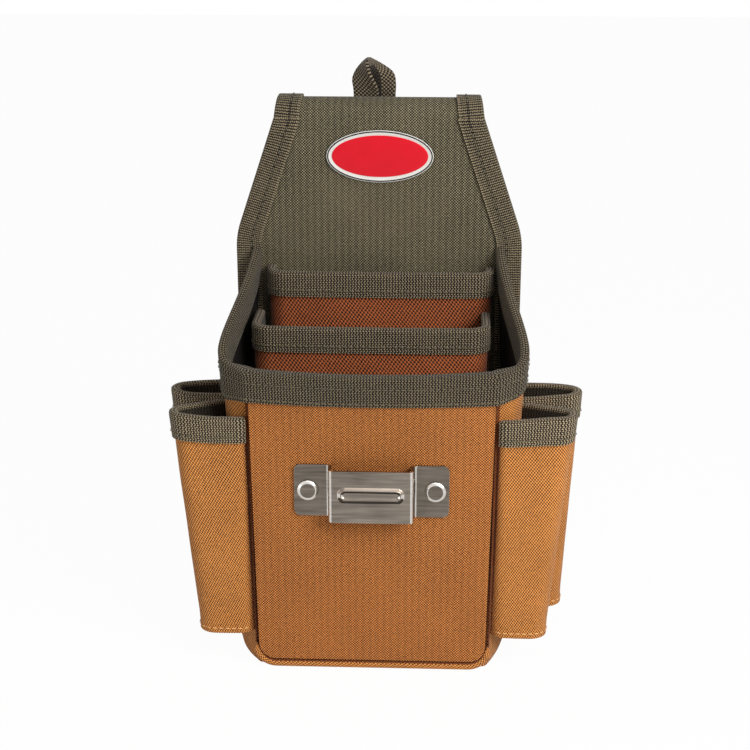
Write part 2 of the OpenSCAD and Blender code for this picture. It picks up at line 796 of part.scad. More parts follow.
module hang_loop() {
    turns = [for (i = [0:loop_steps]) 180 * i / loop_steps];
    middles = [for (a = turns) loop_middle(a)];
    normals = [for (i = [0:loop_steps]) unit(cross(
        middles[min(i + 1, loop_steps)] - middles[max(i - 1, 0)], loop_across(turns[i])))];
    function edge_row(i, side) = [for (e = [-1, 1])
        middles[i] + loop_across(turns[i]) * e * loop_strap_w / 2 + normals[i] * side * loop_strap_t / 2];
    color(olive)
        sheet(
            [for (i = [0:loop_steps]) edge_row(i, -1)],
            [for (i = [0:loop_steps]) edge_row(i, 1)]);
}

// The two ends of the loop's strap, sewn one over the other behind the fold
module loop_legs() {
    // The loop turns on its seam, so the sewn ends stop below it by more than their two layers
    room = 2 * leg_offset + seam_gap;
    color(olive)
        for (swing = [-1, 1])
            translate([leg_x(swing) - loop_strap_w / 2, loop_y - leg_offset * swing - loop_strap_t / 2,
                loop_seam_z - loop_leg])
                cube([loop_strap_w, loop_strap_t, loop_leg - room]);
}

// TAPE CLIP

// Middle line of the steel in plan: flange, bridge, flange
function clip_path() =
    let (
        out = y_front - bridge_out + clip_t / 2,
        back = y_front - clip_t / 2 - seam_gap,
        x = bridge_w / 2 - clip_t / 2,
        r = bend_r
    )
    concat(
        [[-clip_w / 2, back]],
        arc([-x - r, back - r], r, 90, 0, turn_steps),
        arc([-x + r, out + r], r, 180, 270, turn_steps),
        arc([x - r, out + r], r, 270, 360, turn_steps),
        arc([x + r, back - r], r, 180, 90, turn_steps),
        [[clip_w / 2, back]]);

module pill(len, width, depth) {
    r = width / 2;
    run = len / 2 - r;
    rotate([90, 0, 0]) {
        translate([-run, -r, 0]) cube([2 * run, width, depth]);
        for (side = [-1, 1])
            translate([side * run, 0, 0]) cylinder(r = r, h = depth);
    }
}

module tape_clip() {
    face = y_front - bridge_out;
    color("silver")
        difference() {
            union() {
                intersection() {
                    translate([0, 0, clip_z - clip_h / 2])
                        linear_extrude(clip_h) polygon(strip(clip_path(), clip_t));
                    upright(face - clip_t, bridge_out + 2 * clip_t) clip_outline();
                }
                translate([0, face + clip_t / 2, clip_z])
                    pill(rib_len, rib_w, clip_t / 2 + rib_rise);
            }
            translate([0, face + clip_t + seam_gap, clip_z])
                pill(rib_len - clip_t, rib_w - clip_t, rib_rise + seam_gap);
            rivet_holes(y_front - clip_t - seam_gap, y_front);
        }
}

module clip_outline() {
    x = clip_w / 2 - clip_corner_r;
    z = clip_h / 2 - clip_corner_r;
    polygon(concat(
        arc([x, clip_z + z], clip_corner_r, 0, 90, turn_steps),
        arc([-x, clip_z + z], clip_corner_r, 90, 180, turn_steps),
        arc([-x, clip_z - z], clip_corner_r, 180, 270, turn_steps),
        arc([x, clip_z - z], clip_corner_r, 270, 360, turn_steps)));
}

// Flat head with a bevel, shank through clip, panel and washer, and a spread tail inside
module clip_rivets() {
    head_y = y_front - clip_t - seam_gap;
    tail_y = y_front + panel_t + washer_t + seam_gap;
    head_r = rivet_head_d / 2;
    shank_r = rivet_shank_d / 2;
    tail_r = shank_r * tail_spread;
    bevel = rivet_head_h / 2;
    grip = tail_y - head_y;
    color("silver")
        for (side = [-1, 1])
            translate([side * rivet_pitch / 2, head_y, clip_z])
                rotate([-90, 0, 0])
                    rotate_extrude()
                        polygon([[0, -rivet_head_h], [head_r - bevel, -rivet_head_h],
                            [head_r, bevel - rivet_head_h], [head_r, 0], [shank_r, 0], [shank_r, grip],
                            [tail_r, grip], [tail_r, grip + bevel], [0, grip + bevel]]);
}

module rivet_washers() {
    color("silver")
        for (side = [-1, 1])
            translate([side * rivet_pitch / 2, y_front + panel_t, clip_z])
                rotate([-90, 0, 0])
                    difference() {
                        cylinder(d = washer_d, h = washer_t);
                        translate([0, 0, -washer_t])
                            cylinder(r = rivet_shank_d / 2 + shank_gap, h = 3 * washer_t);
                    }
}

// BADGE

module oval(width, height) {
    polygon([for (i = [0:oval_steps - 1])
        let (a = 360 * i / oval_steps)
        [width / 2 * cos(a), badge_z + height / 2 * sin(a)]]);
}

module badge_rim_ring() {
    color("white")
        difference() {
            upright(y_back - badge_t, badge_t) oval(badge_w, badge_h);
            upright(y_back - 2 * badge_t, 1.5 * badge_t)
                oval(badge_w - 2 * badge_rim, badge_h - 2 * badge_rim);
        }
}

module badge_field() {
    sunk = badge_t / 2 - badge_sink;
    color("#c4202c")
        upright(y_back - badge_t / 2 - sunk, sunk)
            oval(badge_w - 2 * badge_rim - 2 * seam_gap, badge_h - 2 * badge_rim - 2 * seam_gap);
}

front_face();
front_board();
front_lining();
base_welt();
gusset();
rim_binding();
front_pocket();
front_pocket_binding();
rear_pocket();
rear_pocket_binding();
right_front_sleeve();
right_front_sleeve_binding();
right_rear_sleeve();
right_rear_sleeve_binding();
left_front_sleeve();
left_front_sleeve_binding();
left_rear_sleeve();
left_rear_sleeve_binding();
back_face();
back_board();
back_lining();
back_binding();
hook_pad();
badge_rim_ring();
badge_field();
tape_clip();
clip_rivets();
rivet_washers();
flap_face();
flap_board();
flap_lining();
flap_binding();
loop_pad();
loop_legs();
hang_loop();
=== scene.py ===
import bpy
import math
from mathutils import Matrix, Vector


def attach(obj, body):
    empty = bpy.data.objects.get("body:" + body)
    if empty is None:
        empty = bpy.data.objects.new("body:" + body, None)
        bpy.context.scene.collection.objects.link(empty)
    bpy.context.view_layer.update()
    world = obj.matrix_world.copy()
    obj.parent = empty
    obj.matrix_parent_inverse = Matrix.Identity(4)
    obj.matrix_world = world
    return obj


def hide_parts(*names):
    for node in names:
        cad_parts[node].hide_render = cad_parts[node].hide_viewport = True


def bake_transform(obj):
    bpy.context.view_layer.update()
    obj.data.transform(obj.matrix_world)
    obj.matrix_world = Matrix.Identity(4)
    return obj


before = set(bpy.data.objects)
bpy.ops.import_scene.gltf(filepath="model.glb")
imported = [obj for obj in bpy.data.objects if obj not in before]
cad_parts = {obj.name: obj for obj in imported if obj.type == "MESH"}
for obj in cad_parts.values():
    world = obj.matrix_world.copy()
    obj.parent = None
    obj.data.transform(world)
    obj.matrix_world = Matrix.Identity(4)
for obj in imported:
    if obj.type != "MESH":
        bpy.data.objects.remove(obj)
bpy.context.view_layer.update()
print("frame loaded:", len(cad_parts), "nodes")

mm = 0.001
up = Vector((0, 0, 1))

# Sizes that several pieces share, in millimetres
body = dict(frontY=-41.0, backY=41.0, rearY=46.0, panel=5.0, cloth=1.8, seam=0.2, mouthFront=158.0,
            mouthRear=201.0, seamY=-36.0, wallRearY=39.4, floorTop=2.0)


# Working helpers

def lerp(a, b, t):
    return a + (b - a) * t


def ease(t):
    t = min(max(t, 0.0), 1.0)
    return t * t * (3 - 2 * t)


def deselectAll():
    bpy.ops.object.select_all(action="DESELECT")


def newest(name):
    piece = bpy.context.active_object
    piece.name = name
    piece.data.name = name
    return piece


def pick(piece):
    deselectAll()
    piece.select_set(True)
    bpy.context.view_layer.objects.active = piece


def editAll():
    bpy.ops.object.mode_set(mode="EDIT")
    bpy.ops.mesh.select_all(action="SELECT")


def stopEdit():
    bpy.ops.object.mode_set(mode="OBJECT")


# Edit mode with only those faces selected that pass the test
def editFaces(piece, test):
    editAll()
    bpy.ops.mesh.select_mode(type="FACE")
    bpy.ops.mesh.select_all(action="DESELECT")
    stopEdit()
    for p in piece.data.polygons:
        p.select = test(p)
    bpy.ops.object.mode_set(mode="EDIT")


def moveUp(height):
    bpy.ops.transform.translate(value=(0, 0, height * mm))


def pullUp(height):
    bpy.ops.mesh.extrude_region_move(TRANSFORM_OT_translate={"value": (0, 0, height * mm)})


def applyModifiers(piece):
    pick(piece)
    for name in [m.name for m in piece.modifiers]:
        bpy.ops.object.modifier_apply(modifier=name)


def smooth(piece, angle):
    pick(piece)
    bpy.ops.object.shade_smooth_by_angle(angle=math.radians(angle))


# A flat grid pulled into shape; cloth(a, b) gives its place on the flat cut, kept as the UV map
def gridSheet(name, columns, rows, place, cloth):
    deselectAll()
    bpy.ops.mesh.primitive_grid_add(x_subdivisions=columns, y_subdivisions=rows, size=2)
    piece = newest(name)
    mesh = piece.data
    spots = [((v.co.x + 1) / 2, (v.co.y + 1) / 2) for v in mesh.vertices]
    uv = mesh.uv_layers.active.data
    for loop in mesh.loops:
        a, b = spots[loop.vertex_index]
        uv[loop.index].uv = Vector(cloth(a, b)) * mm
    for v, (a, b) in zip(mesh.vertices, spots):
        v.co = Vector(place(a, b)) * mm
    return piece


def thicken(piece, thickness, inside=0, rim=0, offset=-1.0):
    wall = piece.modifiers.new("thickness", "SOLIDIFY")
    wall.thickness = thickness * mm
    wall.offset = offset
    wall.material_offset = inside
    wall.material_offset_rim = rim
    applyModifiers(piece)


def roundEdges(piece, width, segments, angle, finish=-1):
    soft = piece.modifiers.new("soft edges", "BEVEL")
    soft.material = finish
    soft.width = width * mm
    soft.segments = segments
    soft.limit_method = "ANGLE"
    soft.angle_limit = math.radians(angle)
    applyModifiers(piece)


def dress(piece, *finishes):
    piece.data.materials.clear()
    for finish in finishes:
        piece.data.materials.append(finish)


# Faces whose place on the flat cut passes the test get another of the piece's finishes, each use here a
# finish with painted shade
def darken(piece, index, test):
    mesh = piece.data
    uv = mesh.uv_layers.active.data
    for p in mesh.polygons:
        spots = [uv[i].uv for i in p.loop_indices]
        middle = sum(spots, Vector((0, 0))) / len(spots) / mm
        if test(middle.x, middle.y):
            p.material_index = index


# A sheet pulled into shape, dressed, thickened and smoothed: shade has a finish's number and the test
# for the faces that take it, edge has the width, steps and angle of soft edges
def makeSheet(name, sizes, place, cloth, finishes, thick, shade=None, edge=None, angle=60, **wall):
    piece = gridSheet(name, sizes["columns"], sizes["rows"], place, cloth)
    dress(piece, *finishes)
    if shade:
        darken(piece, *shade)
    thicken(piece, thick, **wall)
    if edge:
        roundEdges(piece, *edge)
    smooth(piece, angle)
    return piece


def settle(piece, bodyName, slotName, *nodes):
    if isinstance(bodyName, dict):
        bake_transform(piece)
    else:
        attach(piece, bodyName)
    if nodes:
        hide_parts(*nodes)
    print("made", piece.name, len(piece.data.polygons), "faces")


def arc(centre, r, start, end, steps):
    turns = [math.radians(lerp(start, end, i / steps)) for i in range(steps + 1)]
    return [Vector((centre[0] + r * math.cos(t), centre[1] + r * math.sin(t))) for t in turns]


# How far along a line each of its points is
def runsOf(points):
    runs = [0.0]
    for p, q in zip(points, points[1:]):
        runs.append(runs[-1] + (q - p).length)
    return runs


# Which stretch of the line holds a share of its length, and how far into that stretch it falls
def stretchAt(runs, share):
    target = min(max(share, 0.0), 1.0) * runs[-1]
    k = 0
    while k < len(runs) - 2 and runs[k + 1] < target:
        k += 1
    return k, (target - runs[k]) / max(runs[k + 1] - runs[k], 1e-9)


# A walk along a line of points: its length, and the point at a share of that length
def trail(points):
    runs = runsOf(points)

    def at(share):
        k, part = stretchAt(runs, share)
        return points[k].lerp(points[k + 1], part)
    return runs[-1], at


def heading(at, share, step=0.004):
    return (at(share + step) - at(share - step)).normalized()


# Small unevenness that sewn cloth has; each wave has a turn along, a turn up, a shift and a share
clothWaves = ((0.11, 0.043, 0.7, 0.5), (0.037, -0.091, 2.1, 0.35), (0.21, 0.17, 4.0, 0.15))


def ripple(x, z, size):
    return size * sum(math.sin(x * along + z * rise + shift) * share
                      for along, rise, shift, share in clothWaves)


# Material helpers

def colour(r, g, b):
    def linear(c):
        c /= 255
        return c / 12.92 if c <= 0.04045 else ((c + 0.055) / 1.055) ** 2.4
    return (linear(r), linear(g), linear(b), 1.0)


def newFinish(name):
    finish = bpy.data.materials.new(name)
    finish.use_nodes = True
    return finish, finish.node_tree, finish.node_tree.nodes["Principled BSDF"]


# Sockets take a link or a plain value, and None leaves one as it is
def fill(tree, sockets, values):
    for socket, value in zip(sockets, values):
        if isinstance(value, bpy.types.NodeSocket):
            tree.links.new(value, socket)
        elif value is not None:
            socket.default_value = value


def feed(tree, shader, values):
    fill(tree, [shader.inputs[name] for name in values], values.values())


# A node with its first sockets filled in order
def put(tree, kind, *values, out=0, **settings):
    node = tree.nodes.new(kind)
    for key, value in settings.items():
        setattr(node, key, value)
    fill(tree, node.inputs, values)
    return node.outputs[out]


def calc(tree, operation, *values):
    return put(tree, "ShaderNodeMath", *values, operation=operation)


def mixColour(tree, factor, first, second):
    skipped = [None] * 5  # the sockets for plain numbers and vectors
    tones = colour(*first), colour(*second)
    return put(tree, "ShaderNodeMix", factor, *skipped, *tones, out=2, data_type="RGBA")


# A sine along a coordinate, with its pitch in millimetres
def wave(tree, coordinate, pitch):
    return calc(tree, "SINE", calc(tree, "MULTIPLY", coordinate, 2 * math.pi / (pitch * mm)))


def crossing(tree, u, v, pitchU, pitchV):
    return calc(tree, "MULTIPLY", wave(tree, u, pitchU), wave(tree, v, pitchV))


def noise(tree, vector, perMetre, detail=2.0, rough=0.5):
    return put(tree, "ShaderNodeTexNoise", vector, None, perMetre, detail, rough)


# A swing between -1 and 1, brought to between 0 and 1
def lifted(tree, swing):
    return calc(tree, "MULTIPLY_ADD", swing, 0.5, 0.5)


# Adds an amount of a pattern that swings about one half
def vary(tree, pattern, amount, onto):
    return calc(tree, "MULTIPLY_ADD", calc(tree, "SUBTRACT", pattern, 0.5), amount, onto)


# Place on the piece's own flat cut, with yarns that wander a little
def flatPlace(tree, wander, perMetre):
    uv = put(tree, "ShaderNodeUVMap")
    split = put(tree, "ShaderNodeSeparateXYZ", uv).node
    u = vary(tree, noise(tree, uv, perMetre), wander * mm, split.outputs[0])
    v = vary(tree, noise(tree, uv, perMetre * 0.73), wander * mm, split.outputs[1])
    return uv, u, v


def bump(tree, height, look):
    return put(tree, "ShaderNodeBump", look["bump"], look["depth"] * mm, None, height)


# Cloth: draw(tree) gives the weave's height and how light it is
def clothFinish(name, light, dark, look, draw):
    finish, tree, shader = newFinish(name)
    height, lit = draw(tree)
    rough = calc(tree, "MULTIPLY_ADD", height, -0.12, look["rough"])  # raised yarns are rubbed smoother
    feed(tree, shader, {"Base Color": mixColour(tree, lit, dark, light), "Roughness": rough,
                        "Specular IOR Level": 0.25, "Sheen Weight": look["sheen"], "Sheen Roughness": 0.45,
                        "Normal": bump(tree, height, look)})
    return finish


# Cloth woven on its flat cut, where draw also gets its place there; each drift of tone has a scale,
# a detail and an amount
def wovenFinish(name, light, dark, look, draw):
    def drawFlat(tree):
        uv, u, v = flatPlace(tree, *look["wander"])
        height, lit = draw(tree, u, v)
        for perMetre, detail, amount in look["drift"]:
            lit = vary(tree, noise(tree, uv, perMetre, detail), amount, lit)
        return height, lit
    return clothFinish(name, light, dark, look, drawFlat)


# Plain weave: yarns over and under, with tone that drifts from yarn to yarn
weaveLook = dict(wander=(0.4, 160), drift=((620, 2, 0.6), (38, 3, 0.35)), rough=0.88, bump=0.9, depth=0.35)


def plainWeave(name, light, dark, pitch, sheen=0.12, slant=0.0, contrast=0.88, middle=0.5):
    def draw(tree, u, v):
        u = calc(tree, "MULTIPLY_ADD", v, slant, u)
        cross = crossing(tree, u, v, 2 * pitch[0], 2 * pitch[1])
        return lifted(tree, cross), calc(tree, "MULTIPLY_ADD", cross, contrast, middle)
    return wovenFinish(name, light, dark, dict(weaveLook, sheen=sheen), draw)


# Ripstop: a fine weave with faint heavier yarns along it
ripstopLook = dict(wander=(0.35, 140), rough=0.86, sheen=0.1, bump=0.75, depth=0.25,
                   fineHeight=(0.36, 0.47), ribHeight=0.04, ribOnFine=0.22, ribTone=0.018)


def ripstop(name, light, dark, cell, ribPitch, middle, spread):
    look = dict(ripstopLook, drift=((900, 2, 0.9 * spread), (30, 3, 0.2)))

    def draw(tree, u, v):
        fine = crossing(tree, u, v, cell, cell)
        rib = wave(tree, u, ribPitch)
        fine = calc(tree, "MULTIPLY", fine, calc(tree, "MULTIPLY_ADD", rib, look["ribOnFine"], 1.0))
        height = calc(tree, "MULTIPLY_ADD", fine, *look["fineHeight"])
        height = calc(tree, "MULTIPLY_ADD", rib, look["ribHeight"], height)
        lit = calc(tree, "MULTIPLY_ADD", fine, spread, middle)
        return height, calc(tree, "MULTIPLY_ADD", rib, look["ribTone"], lit)
    return wovenFinish(name, light, dark, look, draw)


# One on a line along the tape, falling to nothing on both sides of it
def nearLine(tree, across, at, half):
    gap = calc(tree, "ABSOLUTE", calc(tree, "SUBTRACT", across, at * mm))
    return calc(tree, "MAXIMUM", calc(tree, "MULTIPLY_ADD", gap, -1 / (half * mm), 1.0), 0.0)


# Webbing tape: wavy ribs across the tape, broken up by its lengthwise yarns
tapeLook = dict(wander=(0.3, 150), drift=((700, 2, 0.8), (45, 3, 0.3)), rough=0.85, sheen=0.1, bump=0.9,
                depth=0.4, ribPower=0.8, yarn=(0.32, 0.68))
sewnEdge = dict(width=30.7, seam=4.9, seamHalf=0.8, shade=0.55, dotsAt=0.5, dotsHalf=0.7, dots=0.7)


def webbing(name, light, dark, ribPitch, yarnPitch, sway, contrast=1.0, sewn=None):
    def draw(tree, u, v):
        bend = calc(tree, "MULTIPLY_ADD", wave(tree, v, 2 * yarnPitch), sway * mm, u)
        rib = calc(tree, "POWER", lifted(tree, wave(tree, bend, ribPitch)), tapeLook["ribPower"])
        yarn = calc(tree, "MULTIPLY_ADD", wave(tree, v, yarnPitch), *tapeLook["yarn"])
        height = calc(tree, "MULTIPLY", rib, yarn)
        lit = vary(tree, height, contrast, 0.5)
        if sewn:
            # painted shade along the seam where it pulls the tape in, light dots along its selvedge
            across = calc(tree, "MINIMUM", v, calc(tree, "SUBTRACT", sewn["width"] * mm, v))
            seam = nearLine(tree, across, sewn["seam"], sewn["seamHalf"])
            lit = calc(tree, "MULTIPLY_ADD", seam, -sewn["shade"], lit)
            edge = nearLine(tree, across, sewn["dotsAt"], sewn["dotsHalf"])
            dot = calc(tree, "MULTIPLY", lifted(tree, wave(tree, u, ribPitch)), edge)
            lit = calc(tree, "MULTIPLY_ADD", dot, sewn["dots"], lit)
        return height, lit
    return wovenFinish(name, light, dark, tapeLook, draw)


# Dark coated cloth inside the pouch, with the weave showing faintly through the coating
coatedLook = dict(wander=(0.4, 120), pitch=(1.6, 2.0), cloud=60, rough=0.62, sheen=0.0, bump=0.3, depth=0.2)


def coatedCloth(name, light, dark):
    def draw(tree):
        uv, u, v = flatPlace(tree, *coatedLook["wander"])
        height = lifted(tree, crossing(tree, u, v, *coatedLook["pitch"]))
        return height, calc(tree, "MULTIPLY", height, noise(tree, uv, coatedLook["cloud"], 3))
    return clothFinish(name, light, dark, coatedLook, draw)


# Hook or loop pile: a dense fuzz of small tufts
pileLook = dict(cloud=250, rough=0.95, sheen=0.2, bump=0.8, depth=0.5)


def pile(name, light, dark, tufts):
    def draw(tree):
        spot = put(tree, "ShaderNodeTexCoord", out="Object")
        height = calc(tree, "SUBTRACT", 1.0, put(tree, "ShaderNodeTexVoronoi", spot, None, tufts))
        return height, calc(tree, "MULTIPLY", height, noise(tree, spot, pileLook["cloud"], 3))
    return clothFinish(name, light, dark, pileLook, draw)


threadLook = dict(twist=2600, rough=0.6, sheen=0.1, bump=0.4, depth=0.1)


def sewingThread(name, light, dark):
    def draw(tree):
        twist = noise(tree, put(tree, "ShaderNodeTexCoord", out="Object"), threadLook["twist"], 2)
        return twist, twist
    return clothFinish(name, light, dark, threadLook, draw)


# Satin steel: fine lines along X, streaks of tone and cloudy roughness
steelLook = dict(stretch=(0.06, 1.0, 1.0), lines=2600, cloud=55, streak=700, streakTone=1.6,
                 lineWear=0.16, cloudWear=0.12, bump=0.12, depth=0.05)


def satinSteel(name, dull, bright, rough):
    finish, tree, shader = newFinish(name)
    spot = put(tree, "ShaderNodeTexCoord", out="Object")
    along = put(tree, "ShaderNodeMapping", spot, None, None, steelLook["stretch"])
    lines = noise(tree, along, steelLook["lines"], 3, 0.6)
    cloud = noise(tree, spot, steelLook["cloud"], 3)
    streak = vary(tree, noise(tree, along, steelLook["streak"], 2), steelLook["streakTone"], cloud)
    worn = calc(tree, "MULTIPLY_ADD", cloud, steelLook["cloudWear"], rough)
    worn = calc(tree, "MULTIPLY_ADD", lines, steelLook["lineWear"], worn)
    feed(tree, shader, {"Base Color": mixColour(tree, streak, dull, bright), "Metallic": 1.0,
                        "Roughness": worn, "Normal": bump(tree, lines, steelLook)})
    return finish


# Moulded gloss plastic with faint mottling and fine scuffs in the gloss
glossLook = dict(cloud=120, scuff=900, wear=(0.16, 0.16), gloss=0.3)


def mouldedGloss(name, base, worn):
    finish, tree, shader = newFinish(name)
    spot = put(tree, "ShaderNodeTexCoord", out="Object")
    tone = mixColour(tree, noise(tree, spot, glossLook["cloud"], 3), base, worn)
    rough = calc(tree, "MULTIPLY_ADD", noise(tree, spot, glossLook["scuff"], 4, 0.65), *glossLook["wear"])
    feed(tree, shader, {"Base Color": tone, "Roughness": rough, "Specular IOR Level": glossLook["gloss"]})
    return finish


# Cloth and webbing: light tone, dark tone, then pitches in millimetres and contrast
tanWeave = plainWeave("tan heavy weave", (255, 170, 87), (60, 18, 1), (0.7, 0.9), slant=0.16)
# pocket cloth, darker than the outer tan weave as painted shade inside the mouth
pocketWeave = plainWeave("pocket heavy weave", (198, 107, 59), (6, 1, 0), (0.95, 1.2), slant=0.16)
# painted shade: a darker copy of the tan weave for grooves and crevices beside seams
shadeWeave = plainWeave("shaded heavy weave", (166, 92, 44), (44, 18, 5), (0.66, 0.85), slant=0.16)
tanRipstop = ripstop("tan ripstop", (253, 161, 81), (56, 20, 2), 1.38, 3.54, 0.33, 0.72)
oliveRipstop = ripstop("olive ripstop", (190, 176, 139), (4, 4, 2), 1.44, 3.6, 0.15, 0.66)
oliveTape = webbing("olive webbing", (194, 173, 138), (0, 0, 0), 1.45, 0.95, 0.3, 2.3)
rimTape = webbing("olive mouth webbing", (144, 128, 100), (0, 0, 0), 1.5, 0.95, 0.3, 2.4)
pocketTape = webbing("olive pocket webbing", (166, 147, 117), (0, 0, 0), 1.5, 0.95, 0.3, 2.8)
# painted shade: a darker copy of the webbing for the inner legs of tapes
shadeTape = webbing("olive webbing in painted shade", (74, 66, 50), (8, 7, 5), 1.7, 1.05, 0.3)
edgeTape = webbing("olive edge webbing", (160, 144, 114), (2, 1, 0), 1.3, 0.95, 0.1, 1.4, sewnEdge)
loopTape = plainWeave("olive loop webbing", (148, 131, 106), (2, 1, 0), (0.95, 1.1), 0.1, 0.0, 1.3, 0.28)
loopShade = plainWeave("olive loop webbing in shade", (58, 50, 38), (3, 2, 1), (1.0, 1.2), 0.1)
darkLining = coatedCloth("dark coated lining", (46, 42, 38), (14, 13, 12))
hookPile = pile("hook pile", (48, 46, 44), (10, 10, 10), 900)
loopPile = pile("loop pile", (58, 56, 53), (14, 14, 14), 520)
tanThread = sewingThread("tan thread", (255, 208, 138), (226, 160, 92))
oliveThread = sewingThread("olive thread", (128, 118, 94), (74, 67, 50))
darkThread = sewingThread("dark thread", (84, 78, 60), (40, 37, 28))

# Steel and plastic: two tones, and the steel's roughness
steel = satinSteel("satin steel", (92, 85, 77), (134, 125, 115), 0.2)
# steel with a painted highlight, for the clip's bends and soft edges and the rivets' sloped rings
paintedHighlightSteel = satinSteel("steel with painted highlight", (196, 191, 184), (226, 222, 216), 0.12)
# painted light: a lighter copy of the steel for faces tilted up
paintedLitSteel = satinSteel("steel facing up with painted light", (130, 119, 109), (162, 150, 138), 0.2)
# painted shade: a darker copy of the steel for faces tilted down
paintedShadeSteel = satinSteel("steel facing down with painted shade", (52, 46, 39), (82, 75, 66), 0.25)
# painted light: a lighter copy of the steel for the bridge plate
paintedLitBridgeSteel = satinSteel("steel of the bridge with painted light", (104, 96, 88), (154, 144, 133), 0.2)
badgeWhite = mouldedGloss("badge white", (236, 234, 228), (222, 219, 212))
# painted reflection and shadow: the badge's dark line and outer wall
paintedDarkBadgeEdge = mouldedGloss("badge edge with painted shade", (40, 38, 36), (22, 21, 20))
badgeRed = mouldedGloss("badge red", (230, 8, 34), (212, 6, 30))
print("finishes ready")


# Camera, floor and light; each lamp has a name, a place, a size and a power

studio = dict(eye=(36.0, -828.6, 414.1), target=(0.75, -21.0, 151.48), lens=82.4, sensor=36,
              floorSize=6000, floorGlow=0.97, worldStrength=0.15, lampTarget=(0, 0, 140),
              lamps=(("key light", (500, -560, 560), 420, 6.0), ("fill light", (-720, -560, 200), 300, 1.0),
                     ("top light", (0, -380, 1100), 500, 1.8)))


def aim(thing, place, target):
    thing.rotation_euler = (Vector(target) - Vector(place)).to_track_quat("-Z", "Y").to_euler()


# One for what the camera sees itself, or in or through gloss and glass
def seenDirectly(tree):
    rays = tree.nodes.new("ShaderNodeLightPath").outputs
    seen = calc(tree, "MAXIMUM", rays["Is Camera Ray"], rays["Is Glossy Ray"])
    return calc(tree, "MAXIMUM", seen, rays["Is Transmission Ray"])


def setStage():
    deselectAll()
    bpy.ops.object.camera_add(location=Vector(studio["eye"]) * mm)
    camera = newest("photo camera")
    camera.data.lens = studio["lens"]
    camera.data.sensor_width = studio["sensor"]
    camera.data.clip_start = 0.01
    aim(camera, studio["eye"], studio["target"])
    bpy.context.scene.camera = camera

    deselectAll()
    bpy.ops.mesh.primitive_plane_add(size=studio["floorSize"] * mm, location=(0, 0, 0))
    floor = newest("studio_floor")
    finish, tree, shader = newFinish("pale floor")
    mottle = noise(tree, put(tree, "ShaderNodeTexCoord", out="Object"), 3, 2)
    tone = mixColour(tree, mottle, (246, 246, 246), (252, 252, 252))
    feed(tree, shader, {"Base Color": tone, "Roughness": 0.9, "Specular IOR Level": 0.0})
    glow = put(tree, "ShaderNodeEmission", (1, 1, 1, 1))
    share = calc(tree, "MULTIPLY", seenDirectly(tree), studio["floorGlow"])
    both = put(tree, "ShaderNodeMixShader", share, shader.outputs[0], glow)
    feed(tree, tree.nodes["Material Output"], {"Surface": both})
    dress(floor, finish)

    world = bpy.data.worlds.new("studio")
    bpy.context.scene.world = world
    world.use_nodes = True
    sky = world.node_tree
    dim = studio["worldStrength"]
    level = calc(sky, "MULTIPLY_ADD", seenDirectly(sky), 1.0 - dim, dim)
    feed(sky, sky.nodes["Background"], {"Color": (1, 1, 1, 1), "Strength": level})

    for name, place, size, power in studio["lamps"]:
        deselectAll()
        bpy.ops.object.light_add(type="AREA", location=Vector(place) * mm)
        lamp = newest(name)
        lamp.data.size = size * mm
        lamp.data.energy = power
        aim(lamp, place, studio["lampTarget"])
    bpy.context.scene.view_settings.view_transform = "Standard"


setStage()
print("stage set")


# Stitches: one small thread loop is modelled, then laid along each seam

stitch = dict(length=2.5, width=0.75, height=0.5, pitch=3.2, lift=0.25, samples=200, step=1e-3)


def oneStitch():
    deselectAll()
    bpy.ops.mesh.primitive_uv_sphere_add(segments=6, ring_count=4, radius=1)
    seed = newest("stitch seed")
    editAll()
    bpy.ops.transform.rotate(value=math.pi / 2, orient_axis="Y", center_override=(0, 0, 0))
    half = [stitch[key] / 2 for key in ("length", "width", "height")]
    bpy.ops.transform.resize(value=half, center_override=(0, 0, 0))
    stopEdit()
    shape = ([v.co.copy() for v in seed.data.vertices], [tuple(p.vertices) for p in seed.data.polygons])
    bpy.data.objects.remove(seed)
    return shape


stitchShape = oneStitch()


# Spots along a straight line of a surface's own coordinates: place, direction and outward side
def seamSpots(place, first, last, start, end):
    samples, step = stitch["samples"], stitch["step"]

    def line(t):
        return lerp(first[0], last[0], t), lerp(first[1], last[1], t)
    runs = runsOf([Vector(place(*line(lerp(start, end, i / samples)))) for i in range(samples + 1)])
    count = max(2, int(runs[-1] / stitch["pitch"]))
    spots = []
    for i in range(count):
        k, part = stretchAt(runs, (i + 0.5) / count)
        t = lerp(start, end, (k + part) / samples)
        a, b = line(t)
        here = Vector(place(a, b))
        a, b = (min(max(c, 2 * step), 1 - 2 * step) for c in (a, b))
        alongA = Vector(place(a + step, b)) - Vector(place(a - step, b))
        alongB = Vector(place(a, b + step)) - Vector(place(a, b - step))
        side = alongA.cross(alongB).normalized()
        ahead = Vector(place(*line(min(t + step, 1)))) - Vector(place(*line(max(t - step, 0))))
        spots.append((here + side * stitch["lift"], ahead.normalized(), side))
    return spots


def sew(name, place, lines, ends, thread, bodyName, slotName):
    verts, faces = [], []
    shape, polygons = stitchShape
    for first, last in lines:
        for here, ahead, side in seamSpots(place, first, last, *ends):
            across = side.cross(ahead).normalized()
            base = len(verts)
            verts += [(here + ahead * c.x + across * c.y + side * c.z) * mm for c in shape]
            faces += [tuple(base + i for i in p) for p in polygons]
    mesh = bpy.data.meshes.new(name)
    mesh.from_pydata(verts, [], faces)
    piece = bpy.data.objects.new(name, mesh)
    bpy.context.scene.collection.objects.link(piece)
    dress(piece, thread)
    smooth(piece, 80)
    settle(piece, bodyName, slotName)


# Tape folded over an edge: ring(a) gives that edge as outer low, outer top, inner top and inner low,
# the side that faces out and the way to the edge

tapes = dict(out=1.4, thick=1.1, fullness=0.65, rows=34, innerFrom=0.58)


